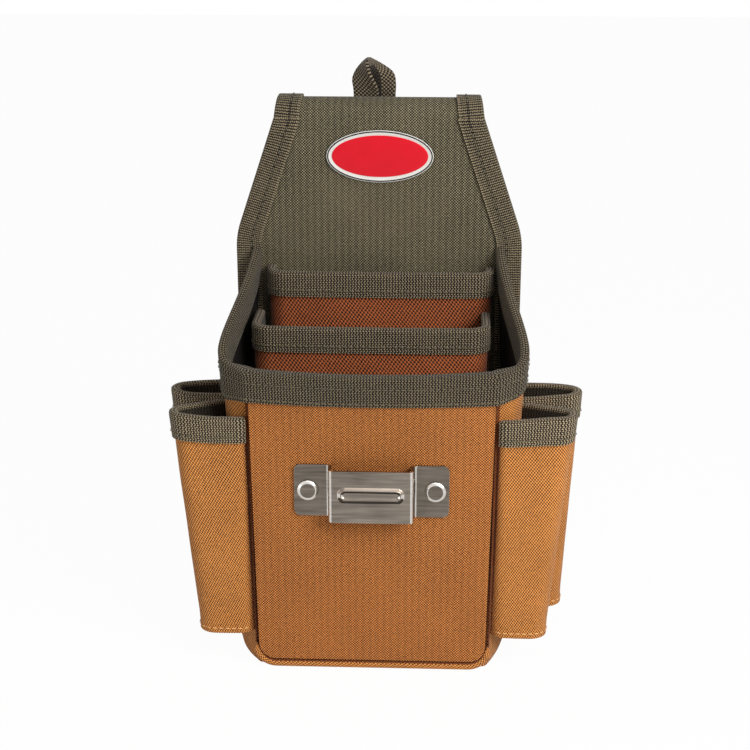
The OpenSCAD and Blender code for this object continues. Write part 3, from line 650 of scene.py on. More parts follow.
def tapePlace(ring, legShare):
    out, fullness = tapes["out"], tapes["fullness"]

    def place(a, b):
        outerLow, outerTop, innerTop, innerLow, side, edge = ring(a)
        if b < legShare:
            return outerLow.lerp(outerTop, b / legShare) + side * out
        if b > 1 - legShare:
            return innerTop.lerp(innerLow, (b - 1 + legShare) / legShare) - side * out
        turn = math.pi * (b - legShare) / (1 - 2 * legShare)
        middle = (outerTop + innerTop) / 2
        half = (outerTop - innerTop).length / 2 + out
        swing = math.cos(turn)
        wide = math.copysign(abs(swing) ** fullness, swing)
        return middle + side * half * wide + edge * out * (math.sin(turn) ** fullness)
    return place


# The ring for tape over the upper edge of a piece of cloth
def overEdge(place, legShare, step=0.004):
    def ring(a):
        ahead = place(min(a + step, 1), 1) - place(max(a - step, 0), 1)
        ahead.z = 0
        ahead.normalize()
        side = Vector((ahead.y, -ahead.x, 0))
        inward = side * body["cloth"]
        outerTop, outerLow = place(a, 1), place(a, 1 - legShare)
        return (outerLow, outerTop, outerTop - inward, outerLow - inward, side, up)
    return ring


# sizes is the dictionary of the piece that the tape is on; a seam below zero is on the inner leg
def makeTape(name, sewnName, sizes, ring, length, finishes, bodyName, node):
    width = 2 * sizes["tapeLeg"] + sizes["tapeCap"]
    legShare = sizes["tapeLeg"] / width
    place = tapePlace(ring, legShare)

    # the inner leg of a tape with two finishes takes webbing with painted shade
    def onInnerLeg(u, v):
        return len(finishes) > 1 and v > tapes["innerFrom"] * width
    piece = makeSheet(name, dict(tapes, columns=sizes["tapeColumns"]), place,
                      lambda a, b: (a * length, b * width), finishes, tapes["thick"], (1, onInnerLeg))
    settle(piece, bodyName, "olive_webbing", node)
    across = [seam * legShare if seam > 0 else 1 + seam * legShare for seam in sizes["tapeSeams"]]
    lines = [((0, v), (1, v)) for v in across]
    sew(sewnName, place, lines, sizes["seamEnds"], oliveThread, bodyName, "olive_webbing")


# Front panel

front = dict(mouthW=123.0, baseW=116.0, bulge=7.0, bulgeStart=116.0, bulgePower=1.5, sag=0.6, cornerR=8.0,
             lift=5.0, puff=0.45, puffPower=8, edge=2.4, pulledIn=0.8, columns=72, rows=72)


def frontHalf(z):
    return lerp(front["baseW"], front["mouthW"], z / body["mouthFront"]) / 2


def frontLean(z):
    share = (z - front["bulgeStart"]) / (body["mouthFront"] - front["bulgeStart"])
    return max(share, 0.0) ** front["bulgePower"]


def frontTop(u):
    return body["mouthFront"] - front["sag"] * (1 - u * u)


def frontBottom(x):
    r = front["cornerR"]
    past = max(0.0, abs(x) - (frontHalf(0) - r))
    return front["lift"] + r - math.sqrt(max(0.0, r * r - past * past))


def frontPoint(u, z, depth):
    y = body["frontY"] + depth - front["bulge"] * (1 - u * u) * frontLean(z)
    return Vector((u * frontHalf(z), y, z))


def frontPlace(a, b):
    u = math.sin(math.pi * (a - 0.5))
    z = lerp(frontBottom(u * frontHalf(front["lift"])), frontTop(u), b)
    power = front["puffPower"]
    pillow = front["puff"] * (1 - u ** power) * (1 - abs(2 * b - 1) ** power)
    spot = frontPoint(u, z, -pillow)
    spot.x -= u * front["pulledIn"]
    return spot


def makeFrontPanel():
    # the panel's side walls take the shaded weave, painted shade for the groove round the panel
    panel = makeSheet("front_panel", front, frontPlace, lambda a, b: frontPlace(a, b).xz,
                      [tanRipstop, darkLining, shadeWeave], body["panel"], edge=(front["edge"], 4, 50),
                      angle=50, inside=1, rim=2)
    settle(panel, "pouch", "tan_ripstop", "front_face", "front_board", "front_lining")


makeFrontPanel()

# Roll of cloth under the front panel's lower edge

welt = dict(past=0.7, roll=2.1, high=13.0, deep=2.2, midY=-39.2, cornerR=10.0, dark=(0.3, 0.63), cut=12.5,
            taper=30, tip=0.15, columns=96, rows=14)


def makeWelt():
    half = frontHalf(front["lift"]) + welt["past"]
    r, low = welt["cornerR"], welt["roll"]
    line = ([Vector((half, welt["high"]))] + arc((half - r, low + r), r, 0, -90, 12)
            + arc((r - half, low + r), r, -90, -180, 12) + [Vector((-half, welt["high"]))])
    length, at = trail(line)

    def place(a, b):
        here, ahead = at(a), heading(at, a)
        fade = min(1.0, min(a, 1 - a) * welt["taper"] + welt["tip"])
        turn = 2 * math.pi * b
        across = Vector((-ahead.y, ahead.x)) * (math.cos(turn) * welt["roll"] * fade)
        return (here.x + across.x, welt["midY"] + math.sin(turn) * welt["deep"] * fade, here.y + across.y)
    roll = gridSheet("base_welt_roll", welt["columns"], welt["rows"], place,
                     lambda a, b: (b * welt["cut"], a * length))
    editAll()
    bpy.ops.mesh.remove_doubles(threshold=1e-5)
    bpy.ops.mesh.select_all(action="DESELECT")
    bpy.ops.mesh.select_non_manifold()
    bpy.ops.mesh.edge_face_add()  # closes both ends
    bpy.ops.mesh.select_all(action="SELECT")
    bpy.ops.mesh.normals_make_consistent(inside=False)
    stopEdit()
    dress(roll, tanWeave, shadeWeave)
    # the strip of the roll tucked into the groove takes the shaded weave as painted shade
    darken(roll, 1, lambda u, v: welt["dark"][0] < u / welt["cut"] < welt["dark"][1])
    smooth(roll, 60)
    settle(roll, "pouch", "tan_weave", "base_welt")


makeWelt()

# Gusset: one strip of cloth that makes both sides and the floor

# the gusset's seam is the width of a strip of painted shade beside its front seam
gusset = dict(mouth=((60.9, -36.0), (89.5, -35.0), (67.0, -5.0), (64.0, 39.4)),
              base=((59.2, -36.0), (67.0, -22.0), (74.0, -5.0), (71.5, 39.4)),
              turn=(3.0, 13.6), floorShare=0.23, turnShare=0.265, cutDepth=84.0, cutLength=486.0, seam=1.2,
              lean=1.6, leanTop=60.0, columns=44, rows=150, samples=12)


def bezier(p, t):
    return ((1 - t) ** 3 * p[0] + 3 * t * (1 - t) ** 2 * p[1]
            + 3 * t * t * (1 - t) * p[2] + t ** 3 * p[3])


mouthCurve = [Vector(p) for p in gusset["mouth"]]
baseCurve = [Vector(p) for p in gusset["base"]]


def mouthHeight(s):
    share = (bezier(mouthCurve, s).y - body["seamY"]) / (body["wallRearY"] - body["seamY"])
    return lerp(body["mouthFront"], body["mouthRear"], share)


def wallCurve(h):
    return [b.lerp(m, h) for b, m in zip(baseCurve, mouthCurve)]


def wallPlan(s, z):
    return bezier(wallCurve(z / mouthHeight(s)), s)


def wallSide(s, z):
    p = wallCurve(z / mouthHeight(s))
    ahead = (1 - s) ** 2 * (p[1] - p[0]) + 2 * s * (1 - s) * (p[2] - p[1]) + s * s * (p[3] - p[2])
    ahead.normalize()
    return Vector((ahead.y, -ahead.x))


def wallPoint(s, z, depth):
    p = wallPlan(s, z) - wallSide(s, z) * depth
    return Vector((p.x, p.y, z))


def gussetPlace(a, b):
    t = 2 * b - 1
    hand = 1 if t >= 0 else -1
    q = abs(t)
    floorShare, turnShare = gusset["floorShare"], gusset["turnShare"]
    r = lerp(*gusset["turn"], a * a)
    if q < floorShare:
        foot = wallPlan(a, 0)
        p = Vector((q / floorShare * (foot.x - r), foot.y, 0))
    elif q < turnShare:
        turn = (q - floorShare) / (turnShare - floorShare) * math.pi / 2
        z = r * (1 - math.cos(turn))
        plan = wallPlan(a, z)
        p = Vector((plan.x - r * (1 - math.sin(turn)), plan.y, z))
    else:
        p = wallPoint(a, lerp(r, mouthHeight(a), (q - turnShare) / (1 - turnShare)), 0)
    lean = gusset["lean"] * max(0.0, 1 - p.z / gusset["leanTop"]) ** 2 * 4 * a * (1 - a)
    return Vector((hand * p.x - lean, p.y, p.z))


def makeGusset():
    turnShare, cutLength, samples = gusset["turnShare"], gusset["cutLength"], gusset["samples"]

    def cloth(a, b):
        curve = wallCurve(max(0.0, abs(2 * b - 1) - turnShare) / (1 - turnShare))
        return runsOf([bezier(curve, a * i / samples) for i in range(samples + 1)])[-1], b * cutLength

    # painted shade: a strip of the shaded weave beside the front seam, in the groove by the panel
    def paintedShadeBySeam(u, v):
        return u < gusset["seam"] and abs(2 * v / cutLength - 1) > turnShare
    piece = makeSheet("side_gusset", gusset, gussetPlace, cloth, [tanWeave, darkLining, shadeWeave],
                      body["cloth"], (2, paintedShadeBySeam), inside=1)
    settle(piece, "pouch", "tan_weave", "gusset")


makeGusset()

# Tape over the mouth

rim = dict(tapeLeg=14.5, tapeCap=7.0, tapeColumns=220, tapeSeams=(0.12, 0.68), seamEnds=(0.0, 1.0),
           stations=40, cornerStation=0.143, cornerDepth=7.0, cornerFade=18, tilt=0.45, tiltFrom=0.94,
           droop=4.2, droopFrom=0.02, droopRun=0.2, droopEnd=0.8)


# Stations from the left rear, round the front, to the right rear
def rimLine():
    shares = [i / rim["stations"] for i in range(rim["stations"] + 1)]
    corner = rim["cornerStation"]
    return ([("left", lerp(1, corner, t)) for t in shares] + [("front", lerp(-1, 1, t)) for t in shares]
            + [("right", lerp(corner, 1, t)) for t in shares])


def rimEdge(kind, s):
    if kind == "front":
        top, outer = frontTop(s), -body["seam"]
        low = top - rim["tapeLeg"]
        inner = lerp(rim["cornerDepth"], body["panel"], min(1.0, (1 - abs(s)) * rim["cornerFade"])) - outer
        tilt = rim["tilt"] * max(0.0, abs(s) - rim["tiltFrom"]) / (1 - rim["tiltFrom"])
        side = Vector((math.copysign(tilt, s), -1, 0)).normalized()
        return (frontPoint(s, low, outer), frontPoint(s, top, outer),
                frontPoint(s, top, inner), frontPoint(s, low, inner), side)
    top = mouthHeight(s)
    low = top - rim["tapeLeg"]
    side = wallSide(s, top).to_3d()
    droop = 0.0
    if kind == "left":  # its lower edge is pulled down beside the front corner
        droop = rim["droop"] * ease((s - rim["droopFrom"]) / rim["droopRun"])
        droop *= ease(2 * (rim["droopEnd"] - s))
    edge = [wallPoint(s, low - droop, 0), wallPoint(s, top, 0),
            wallPoint(s, top, body["cloth"]), wallPoint(s, low, body["cloth"]), side]
    if kind == "left":
        edge = [Vector((-p.x, p.y, p.z)) for p in edge]
    return edge


def makeRim():
    edges = [rimEdge(*s) for s in rimLine()]
    runs = runsOf([(e[1] + e[2]) / 2 for e in edges])

    def ring(a):
        k, part = stretchAt(runs, a)
        *points, side = [p.lerp(q, part) for p, q in zip(edges[k], edges[k + 1])]
        return (*points, side.normalized(), up)
    makeTape("rim_tape", "rim_stitches", rim, ring, runs[-1], [rimTape], "pouch", "rim_binding")


makeRim()

# Inner pockets, each a U of cloth with taped edge

pockets = dict(turn=9.0, bow=1.2, bowFrom=0.35, asideFrom=0.3, asideRun=0.55, uneven=0.25,
               columns=110, rows=40, tapeLeg=11.5, tapeCap=4.5, tapeColumns=120, tapeSeams=(0.3,),
               seamEnds=(0.02, 0.98))
frontPocket = dict(half=59.0, y=-6.0, rear=25.0, top=170.0, aside=-2.4)
rearPocket = dict(half=57.5, y=25.0, rear=39.6, top=190.5, aside=1.2)


def pocketLine(sizes):
    half, y, r = sizes["half"], sizes["y"], pockets["turn"]
    rear = sizes["rear"] - body["seam"]
    return ([Vector((-half, rear))] + arc((r - half, y + r), r, 180, 270, 14)
            + arc((half - r, y + r), r, 270, 360, 14) + [Vector((half, rear))])


def makePocket(name, sizes, node):
    length, at = trail(pocketLine(sizes))
    low = body["floorTop"]
    height = sizes["top"] - low

    def place(a, b):
        here = at(a)
        z = lerp(low, sizes["top"], b)
        wide = max(0.0, 1 - (here.x / sizes["half"]) ** 2)
        y = here.y + ripple(here.x, z, pockets["uneven"]) * wide
        if here.y < sizes["y"] + 1:  # only the front of the U bows out
            y -= pockets["bow"] * wide * max(0.0, b - pockets["bowFrom"]) / (1 - pockets["bowFrom"])
        x = here.x + sizes["aside"] * ease((b - pockets["asideFrom"]) / pockets["asideRun"])
        return Vector((x, y, z))
    piece = makeSheet(name, pockets, place, lambda a, b: (a * length, b * height),
                      [pocketWeave, darkLining], body["cloth"], inside=1)
    settle(piece, "pouch", "tan_weave", node)
    ring = overEdge(place, pockets["tapeLeg"] / height, 0.003)
    makeTape(name + "_tape", name + "_stitches", pockets, ring, length, [pocketTape, shadeTape], "pouch",
             node + "_binding")


makePocket("front_inner_pocket", frontPocket, "front_pocket")
makePocket("rear_inner_pocket", rearPocket, "rear_pocket")

# Side sleeves, open at both ends; a pair of sizes is at the bottom and at the top

sleeves = dict(top=133.0, bottom=18.0, front=(88.0, 99.5), rear=(97.5, 104.0), leftIn=4.0, turn=8.0,
               tuck=(8.0, 4.5), setback=1.6, groove=1.0, seamAt=0.62, endAt=0.88, seamRoom=0.05, shade=2.0,
               rise=dict(right=(2.4, 0.0), left=(1.4, 0.22)), riseTo=0.45, riseFall=0.4, risePower=4,
               hem=2.8, hemSpan=dict(front=(0.08, 0.97), rear=(0.03, 0.97)), hemBow=0.9, hemRun=12,
               uneven=0.35, unevenRun=80, columns=64, rows=46, edge=0.5, tapeLeg=11.6, tapeCap=4.5,
               tapeColumns=72, tapeSeams=(0.26,), seamEnds=(0.0, 1.0), tapeSpan=(0.035, 0.94),
               tapeShare=0.92)


def sleeveLine(root, reach, end, tuck, wallAt):
    r = sleeves["turn"]
    centre = Vector((reach - r, root.y + r))
    away = end - centre
    leave = math.degrees(math.atan2(away.y, away.x) - math.acos(r / away.length))
    start = [root]
    if tuck:
        # the front wall rounds back to its seam and stops inside the side wall
        start = []
        for spot in arc((root.x + tuck, root.y + tuck), tuck, 270, 180, 16):
            start.insert(0, spot)
            if spot.x < wallAt(spot.y) - body["cloth"] / 2:
                break
    return start + arc(centre, r, -90, leave, 14) + [end]


def sleeveCut(which, hand, t):
    z = lerp(sleeves["bottom"], sleeves["top"], t)

    def onWall(s):
        return wallPlan(s, z) + wallSide(s, z) * body["seam"]

    def wallAt(y):
        if y < body["seamY"]:
            return -1e9
        low, high = 0.0, 1.0
        for _ in range(24):
            middle = (low + high) / 2
            low, high = (middle, high) if wallPlan(middle, z).y < y else (low, middle)
        return wallPlan(low, z).x
    reach = lerp(*sleeves[which], t)
    if which == "front":
        root = Vector((frontHalf(z) + sleeves["groove"], body["frontY"] + sleeves["setback"]))
        end = onWall(sleeves["seamAt"] - sleeves["seamRoom"])
        return trail(sleeveLine(root, reach, end, lerp(*sleeves["tuck"], t), wallAt))
    if hand < 0:
        reach -= sleeves["leftIn"] * (1 - t)  # it hangs closer in towards its foot
    return trail(sleeveLine(onWall(sleeves["seamAt"]), reach, onWall(sleeves["endAt"]), 0, wallAt))


def makeSleeve(which, hand):
    sideName = "right" if hand > 0 else "left"
    name = sideName + "_" + which + "_sleeve"
    rows = sleeves["rows"]
    cuts = [sleeveCut(which, hand, i / rows) for i in range(rows + 1)]
    length = (cuts[0][0] + cuts[-1][0]) / 2
    height = sleeves["top"] - sleeves["bottom"]
    rise, riseFrom = sleeves["rise"][sideName]

    def plan(a, t):
        k = min(int(t * rows), rows - 1)
        return cuts[k][1](a).lerp(cuts[k + 1][1](a), t * rows - k)

    def place(a, b):
        along = a if hand > 0 else 1 - a
        ahead = plan(min(along + 0.01, 1), b) - plan(max(along - 0.01, 0), b)
        side = Vector((ahead.y, -ahead.x)).normalized()
        near = max(0.0, 1 - b * height / sleeves["hemRun"])
        uneven = ripple(along * sleeves["unevenRun"], b * height, sleeves["uneven"]) * min(1, 3 * (1 - b))
        slack = math.sin(math.pi * along) * (sleeves["hemBow"] * near * near + uneven)
        here = plan(along, b) + side * slack
        # the mouth stands a little higher at its outer turn
        lift = rise * ease((along - riseFrom) / (sleeves["riseTo"] - riseFrom))
        lift *= ease((1 - along) / sleeves["riseFall"]) * b ** sleeves["risePower"]
        return Vector((hand * here.x, here.y, lerp(sleeves["bottom"], sleeves["top"], b) + lift))

    # painted shade: the front sleeve's root, turned into the groove by the panel, takes the shaded weave
    def paintedShadeBySeam(u, v):
        return which == "front" and (u if hand > 0 else length - u) < sleeves["shade"]
    piece = makeSheet(name + "_cloth", sleeves, place, lambda a, b: (a * length, b * height),
                      [tanWeave, darkLining, shadeWeave], body["cloth"], (2, paintedShadeBySeam),
                      (sleeves["edge"], 2, 60), inside=1)
    settle(piece, "pouch", "tan_weave", name)

    first, last = sleeves["tapeSpan"]
    hemFirst, hemLast = sleeves["hemSpan"][which]
    if hand < 0:
        first, last = 1 - last, 1 - first
        hemFirst, hemLast = 1 - hemLast, 1 - hemFirst
    edgeRing = overEdge(place, sleeves["tapeLeg"] / height)
    makeTape(name + "_tape", name + "_tape_stitches", sleeves, lambda a: edgeRing(lerp(first, last, a)),
             cuts[-1][0] * sleeves["tapeShare"], [oliveTape, shadeTape], "pouch", name + "_binding")
    hem = sleeves["hem"] / height
    sew(name + "_hem_stitches", place, [((0, hem), (1, hem))], (hemFirst, hemLast), tanThread, "pouch",
        "tan_weave")


for which in ("front", "rear"):
    for hand in (1, -1):
        makeSleeve(which, hand)

# Back panel, with its tape, and the belt flap that folds over its top

back = dict(top=268.5, low=1.4, baseHalf=72.0, shoulderHalf=73.0, shoulderZ=207.0, topHalf=52.4,
            cornerR=14.0, shoulderR=40.0, cutRun=24.0, columns=60, rows=120, rowPower=1.3, tapeLeg=11.6,
            tapeCap=7.5, tapeColumns=260, tapeSeams=(0.42, -0.42), seamEnds=(0.005, 0.995))


def roundedCorner(a, b, c, r, steps):
    toA, toC = (a - b).normalized(), (c - b).normalized()
    half = math.acos(toA.dot(toC)) / 2
    centre = b + (toA + toC).normalized() * (r / math.sin(half))
    ends = [b + way * (r / math.tan(half)) - centre for way in (toA, toC)]
    return arc(centre, r, *(math.degrees(math.atan2(end.y, end.x)) for end in ends), steps)


# Right half of the outline, from the bottom up to the fold
def backHalfLine():
    r, low = back["cornerR"], back["low"]
    base = Vector((back["baseHalf"], low + r))
    shoulder = Vector((back["shoulderHalf"], back["shoulderZ"]))
    top = Vector((back["topHalf"], back["top"]))
    return (arc((back["baseHalf"] - r, low + r), r, -90, 0, 14)
            + roundedCorner(base, shoulder, top, back["shoulderR"], 12) + [top])


backHalf = backHalfLine()


def backHalfWidth(z):
    for p, q in zip(backHalf, backHalf[1:]):
        if p.y <= z <= q.y:
            return lerp(p.x, q.x, (z - p.y) / max(q.y - p.y, 1e-9))
    return backHalf[0].x if z < backHalf[0].y else backHalf[-1].x


def makeBackPanel():
    def place(a, b):
        z = lerp(back["low"], back["top"], b ** back["rowPower"])
        return Vector(((2 * a - 1) * backHalfWidth(z), body["backY"], z))
    panel = makeSheet("back_panel", back, place, lambda a, b: place(a, b).xz, [oliveRipstop, darkLining],
                      body["panel"], angle=50, inside=1)
    settle(panel, "pouch", "olive_ripstop", "back_face", "back_board", "back_lining")

    length, at = trail(backHalf[::-1] + [Vector((-p.x, p.y)) for p in backHalf])

    def ring(a):
        here, ahead = at(a), heading(at, a)
        edge = Vector((-ahead.y, 0, ahead.x))
        outer = Vector((here.x, body["backY"], here.y))
        inner = Vector((here.x, body["rearY"], here.y))
        leg = edge * back["tapeLeg"]
        # the top ends are cut level with the fold
        level = max(0.0, 1 - (back["top"] - here.y) / back["cutRun"])
        if level > 0:
            leg -= Vector((ahead.x, 0, ahead.y)) * (leg.z / ahead.y) * level * level
        return (outer - leg, outer, inner, inner - leg, Vector((0, -1, 0)), edge)
    makeTape("back_tape", "back_tape_stitches", back, ring, length, [edgeTape], "pouch", "back_binding")


makeBackPanel()

flap = dict(half=50.9, flare=1.5, flareRun=14.0, foldY=50.5, foldZ=268.5, foldR=9.5, inR=4.5, lean=2.97,
            length=126.0, cornerR=16.0, columns=44, rows=150, evenRows=0.25, rowPower=1.35, bendIn=0.6,
            bendWay=(0, 0.978, -0.208), bendRun=10.2, tapeLeg=11.6, tapeCap=7.5, tapeColumns=260,
            tapeSeams=(0.42,), seamEnds=(0.02, 0.98))
bendFrom = Vector((0, body["rearY"] - flap["bendIn"], flap["foldZ"]))
bendTo = bendFrom + Vector(flap["bendWay"]) * flap["bendRun"]
foldBend = dict(a="pouch", b="belt_flap", start=bendFrom * mm, end=bendTo * mm)

foldCentre = Vector((0, flap["foldY"], flap["foldZ"]))
foldRun = flap["foldR"] * math.radians(180 + flap["lean"])
flapTilt = math.radians(flap["lean"])
flapDown = Vector((0, -math.sin(flapTilt), -math.cos(flapTilt)))
flapOut = Vector((0, math.cos(flapTilt), -math.sin(flapTilt)))


# Down the flap from the front of the fold: outer surface and its side, at a run in millimetres
def flapSpot(run):
    if run < foldRun:
        turn = math.pi - run / flap["foldR"]
        side = Vector((0, math.cos(turn), math.sin(turn)))
        return foldCentre + side * flap["foldR"], side
    return foldCentre + flapOut * flap["foldR"] + flapDown * (run - foldRun), flapOut


def flapHalfWidth(run):
    r = flap["cornerR"]
    left = foldRun + flap["length"] - run
    if left >= r:
        return flap["half"] + flap["flare"] * max(0.0, 1 - run / flap["flareRun"])
    return flap["half"] - r + math.sqrt(max(0.0, r * r - (r - left) ** 2))


def makeFlap():
    total = foldRun + flap["length"]

    def flat(a, b):
        # rows crowd at the round corners
        run = total * lerp(1 - (1 - b) ** flap["rowPower"], b, flap["evenRows"])
        return (2 * a - 1) * flapHalfWidth(run), run

    def onFlap(x, run, depth=0.0):
        here, side = flapSpot(max(run, 0.0))
        return here - side * depth + Vector((x, 0, 0))
    panel = makeSheet("belt_flap_panel", flap, lambda a, b: onFlap(*flat(a, b)),
                      lambda a, b: Vector(flat(a, b)) + Vector((0, back["top"])),
                      [oliveRipstop, darkLining], body["panel"], angle=50, inside=1)
    settle(panel, foldBend, "olive_ripstop", "flap_face", "flap_board", "flap_lining")

    # the tape's edge on the flat flap: down the left, round the bottom, up the right
    half, r = flap["half"], flap["cornerR"]
    flare = [Vector((half + flap["flare"], 0)), Vector((half, flap["flareRun"]))]
    line = ([Vector((-p.x, p.y)) for p in flare] + arc((r - half, total - r), r, 180, 90, 14)
            + arc((half - r, total - r), r, 90, 0, 14) + flare[::-1])
    length, at = trail(line)

    def ring(a):
        here, ahead = at(a), heading(at, a, 0.003)
        edge = Vector((-ahead.y, ahead.x))
        run = max(here.y, 0.0)
        spot, side = flapSpot(run)
        down = (flapSpot(run + 0.5)[0] - spot).normalized()
        inner = here - edge * flap["tapeLeg"]
        return (onFlap(*inner), onFlap(*here), onFlap(*here, body["panel"]), onFlap(*inner, body["panel"]),
                side, Vector((edge.x, 0, 0)) + down * edge.y)
    makeTape("belt_flap_tape", "belt_flap_stitches", flap, ring, length, [edgeTape], foldBend,
             "flap_binding")


makeFlap()

# Closure pads behind

pads = dict(w=70.0, h=32.0, thick=1.5, sunk=0.1, edge=16.0, soft=0.5, inset=(0.03, 0.06),
            seamEnds=(0.04, 0.96), columns=30, rows=16)


def makePad(name, corner, side, down, finish, bodyName, node):
    def place(a, b):
        return corner + Vector(((a - 0.5) * pads["w"], 0, 0)) + down * (b * pads["h"]) + side * pads["thick"]
    pad = makeSheet(name, pads, place, lambda a, b: (a * pads["w"], b * pads["h"]), [finish],
                    pads["thick"] - pads["sunk"], edge=(pads["soft"], 2, 60), angle=50)
    settle(pad, bodyName, "hook_loop", node)
    x, y = pads["inset"]
    lines = (((0, y), (1, y)), ((0, 1 - y), (1, 1 - y)), ((x, 0), (x, 1)), ((1 - x, 0), (1 - x, 1)))
    sew(name + "_stitches", place, lines, pads["seamEnds"], darkThread, bodyName, "hook_loop")


padTop = Vector((0, body["rearY"], flap["foldZ"] - flap["length"] + pads["edge"] + pads["h"]))
makePad("hook_pad_piece", padTop, Vector((0, 1, 0)), -up, hookPile, "pouch", "hook_pad")
padFoot = foldCentre + flapOut * flap["inR"] + flapDown * (flap["length"] - pads["edge"])
makePad("loop_pad_piece", padFoot, -flapOut, -flapDown, loopPile, "belt_flap", "loop_pad")

# Hang loop: one strap, sewn on behind the fold, twisted at its peak

# spots: across, above the seam, twist in degrees
hangLoop = dict(width=13.0, thick=1.6, shift=2.0, leg=12.0, legSteps=8, y=61.9, z=268.5, offset=0.9,
                open=5.0, steps=6, columns=10, rows=110, shadeFrom=0.54, shadeWidth=7.6, edge=0.35,
                bend=(-4, 2), patchHalf=9, patchLow=-11, patchTop=-5, seamEnds=(0.02, 0.98),
                spots=((-7.6, 0, 0), (-7.3, 6, 6), (-7.5, 12, 14), (-8.7, 16.5, 30), (-8.9, 20.0, 50),
                       (-8.4, 22.8, 66), (-7.6, 25.0, 79), (-6.5, 26.6, 90), (-5.4, 25.6, 101),
                       (-3.4, 23.6, 116), (-1.4, 21.4, 134), (0.5, 18.8, 156), (1.4, 14.5, 184),
                       (1.6, 9.5, 204), (1.6, 4, 200), (1.6, 0, 180)))


# A smooth line through given spots
def throughSpots(spots, steps):
    spots = [Vector(p) for p in spots]
    padded = [2 * spots[0] - spots[1]] + spots + [2 * spots[-1] - spots[-2]]
    line = []
    for p0, p1, p2, p3 in zip(padded, padded[1:], padded[2:], padded[3:]):
        for i in range(steps):
            t = i / steps
            line.append(0.5 * (2 * p1 + (p2 - p0) * t + (2 * p0 - 5 * p1 + 4 * p2 - p3) * t * t
                               + (3 * p1 - p0 - 3 * p2 + p3) * t ** 3))
    return line + [spots[-1]]


def makeHangLoop():
    line = throughSpots(hangLoop["spots"], hangLoop["steps"])
    turns = [math.radians(p.z) for p in line]
    points = []
    for i, (p, turn) in enumerate(zip(line, turns)):
        part = hangLoop["offset"] + hangLoop["open"] * math.sin(math.pi * i / (len(line) - 1))
        points.append(Vector((p.x, hangLoop["y"] - part * math.cos(turn), hangLoop["z"] + p.y)))
    legSteps = hangLoop["legSteps"]
    legDown = -up * hangLoop["leg"]
    spots = [points[0] + legDown * (1 - i / legSteps) for i in range(legSteps)] + points
    spots += [points[-1] + legDown * ((i + 1) / legSteps) for i in range(legSteps)]
    twists = [0.0] * legSteps + turns + [math.pi] * legSteps
    runs = runsOf(spots)
    length = runs[-1]

    def place(a, b):
        k, part = stretchAt(runs, b)
        twist = lerp(twists[k], twists[k + 1], part)
        across = Vector((math.cos(twist), -math.sin(twist), 0))
        return spots[k].lerp(spots[k + 1], part) + across * (a - 0.5) * hangLoop["width"]

    def inShade(u, v):
        return u > hangLoop["shadeFrom"] * length and v > hangLoop["shadeWidth"]
    strap = makeSheet("hang_loop_strap_piece", hangLoop, place,
                      lambda a, b: (b * length, a * hangLoop["width"]), [loopTape, loopShade],
                      hangLoop["thick"], (1, inShade), (hangLoop["edge"], 2, 60), offset=0.0)
    seam = Vector((0, hangLoop["y"], hangLoop["z"]))
    below, above = ((seam + up * height) * mm for height in hangLoop["bend"])
    settle(strap, dict(a="belt_flap", b="hang_loop_strap", start=below, end=above), "olive_webbing",
           "hang_loop", "loop_legs")

    # crossed stitches hold the two ends down
    def patch(a, b):
        return seam + Vector(((1 - 2 * a) * hangLoop["patchHalf"] - hangLoop["shift"],
                              hangLoop["offset"] + hangLoop["thick"] / 2,
                              lerp(hangLoop["patchLow"], hangLoop["patchTop"], b)))
    lines = (((0, 0), (1, 0)), ((0, 1), (1, 1)), ((0, 0), (1, 1)), ((0, 1), (1, 0)))
    sew("hang_loop_stitches", patch, lines, hangLoop["seamEnds"], oliveThread, "belt_flap", "olive_webbing")


makeHangLoop()

# Steel clip for a tape measure, with its rivets

clip = dict(w=76.5, h=26.8, thick=1.5, clear=0.2, bridge=42.0, out=11.0, bend=2.0, foot=1.9, corner=3.0,
            z=98.4, ribLength=33.5, ribWidth=8.6, ribRise=1.5, ribUp=1.0, ribWall=1.9, ribSoft=0.25,
            ribTrough=1.5, ribSink=0.6, ribRoom=3.0, columns=210, rows=72, crowd=0.35, edge=0.4, tilted=0.2,
            turned=(0.45, 0.93))
clipFace = body["frontY"] - clip["thick"] - clip["clear"]


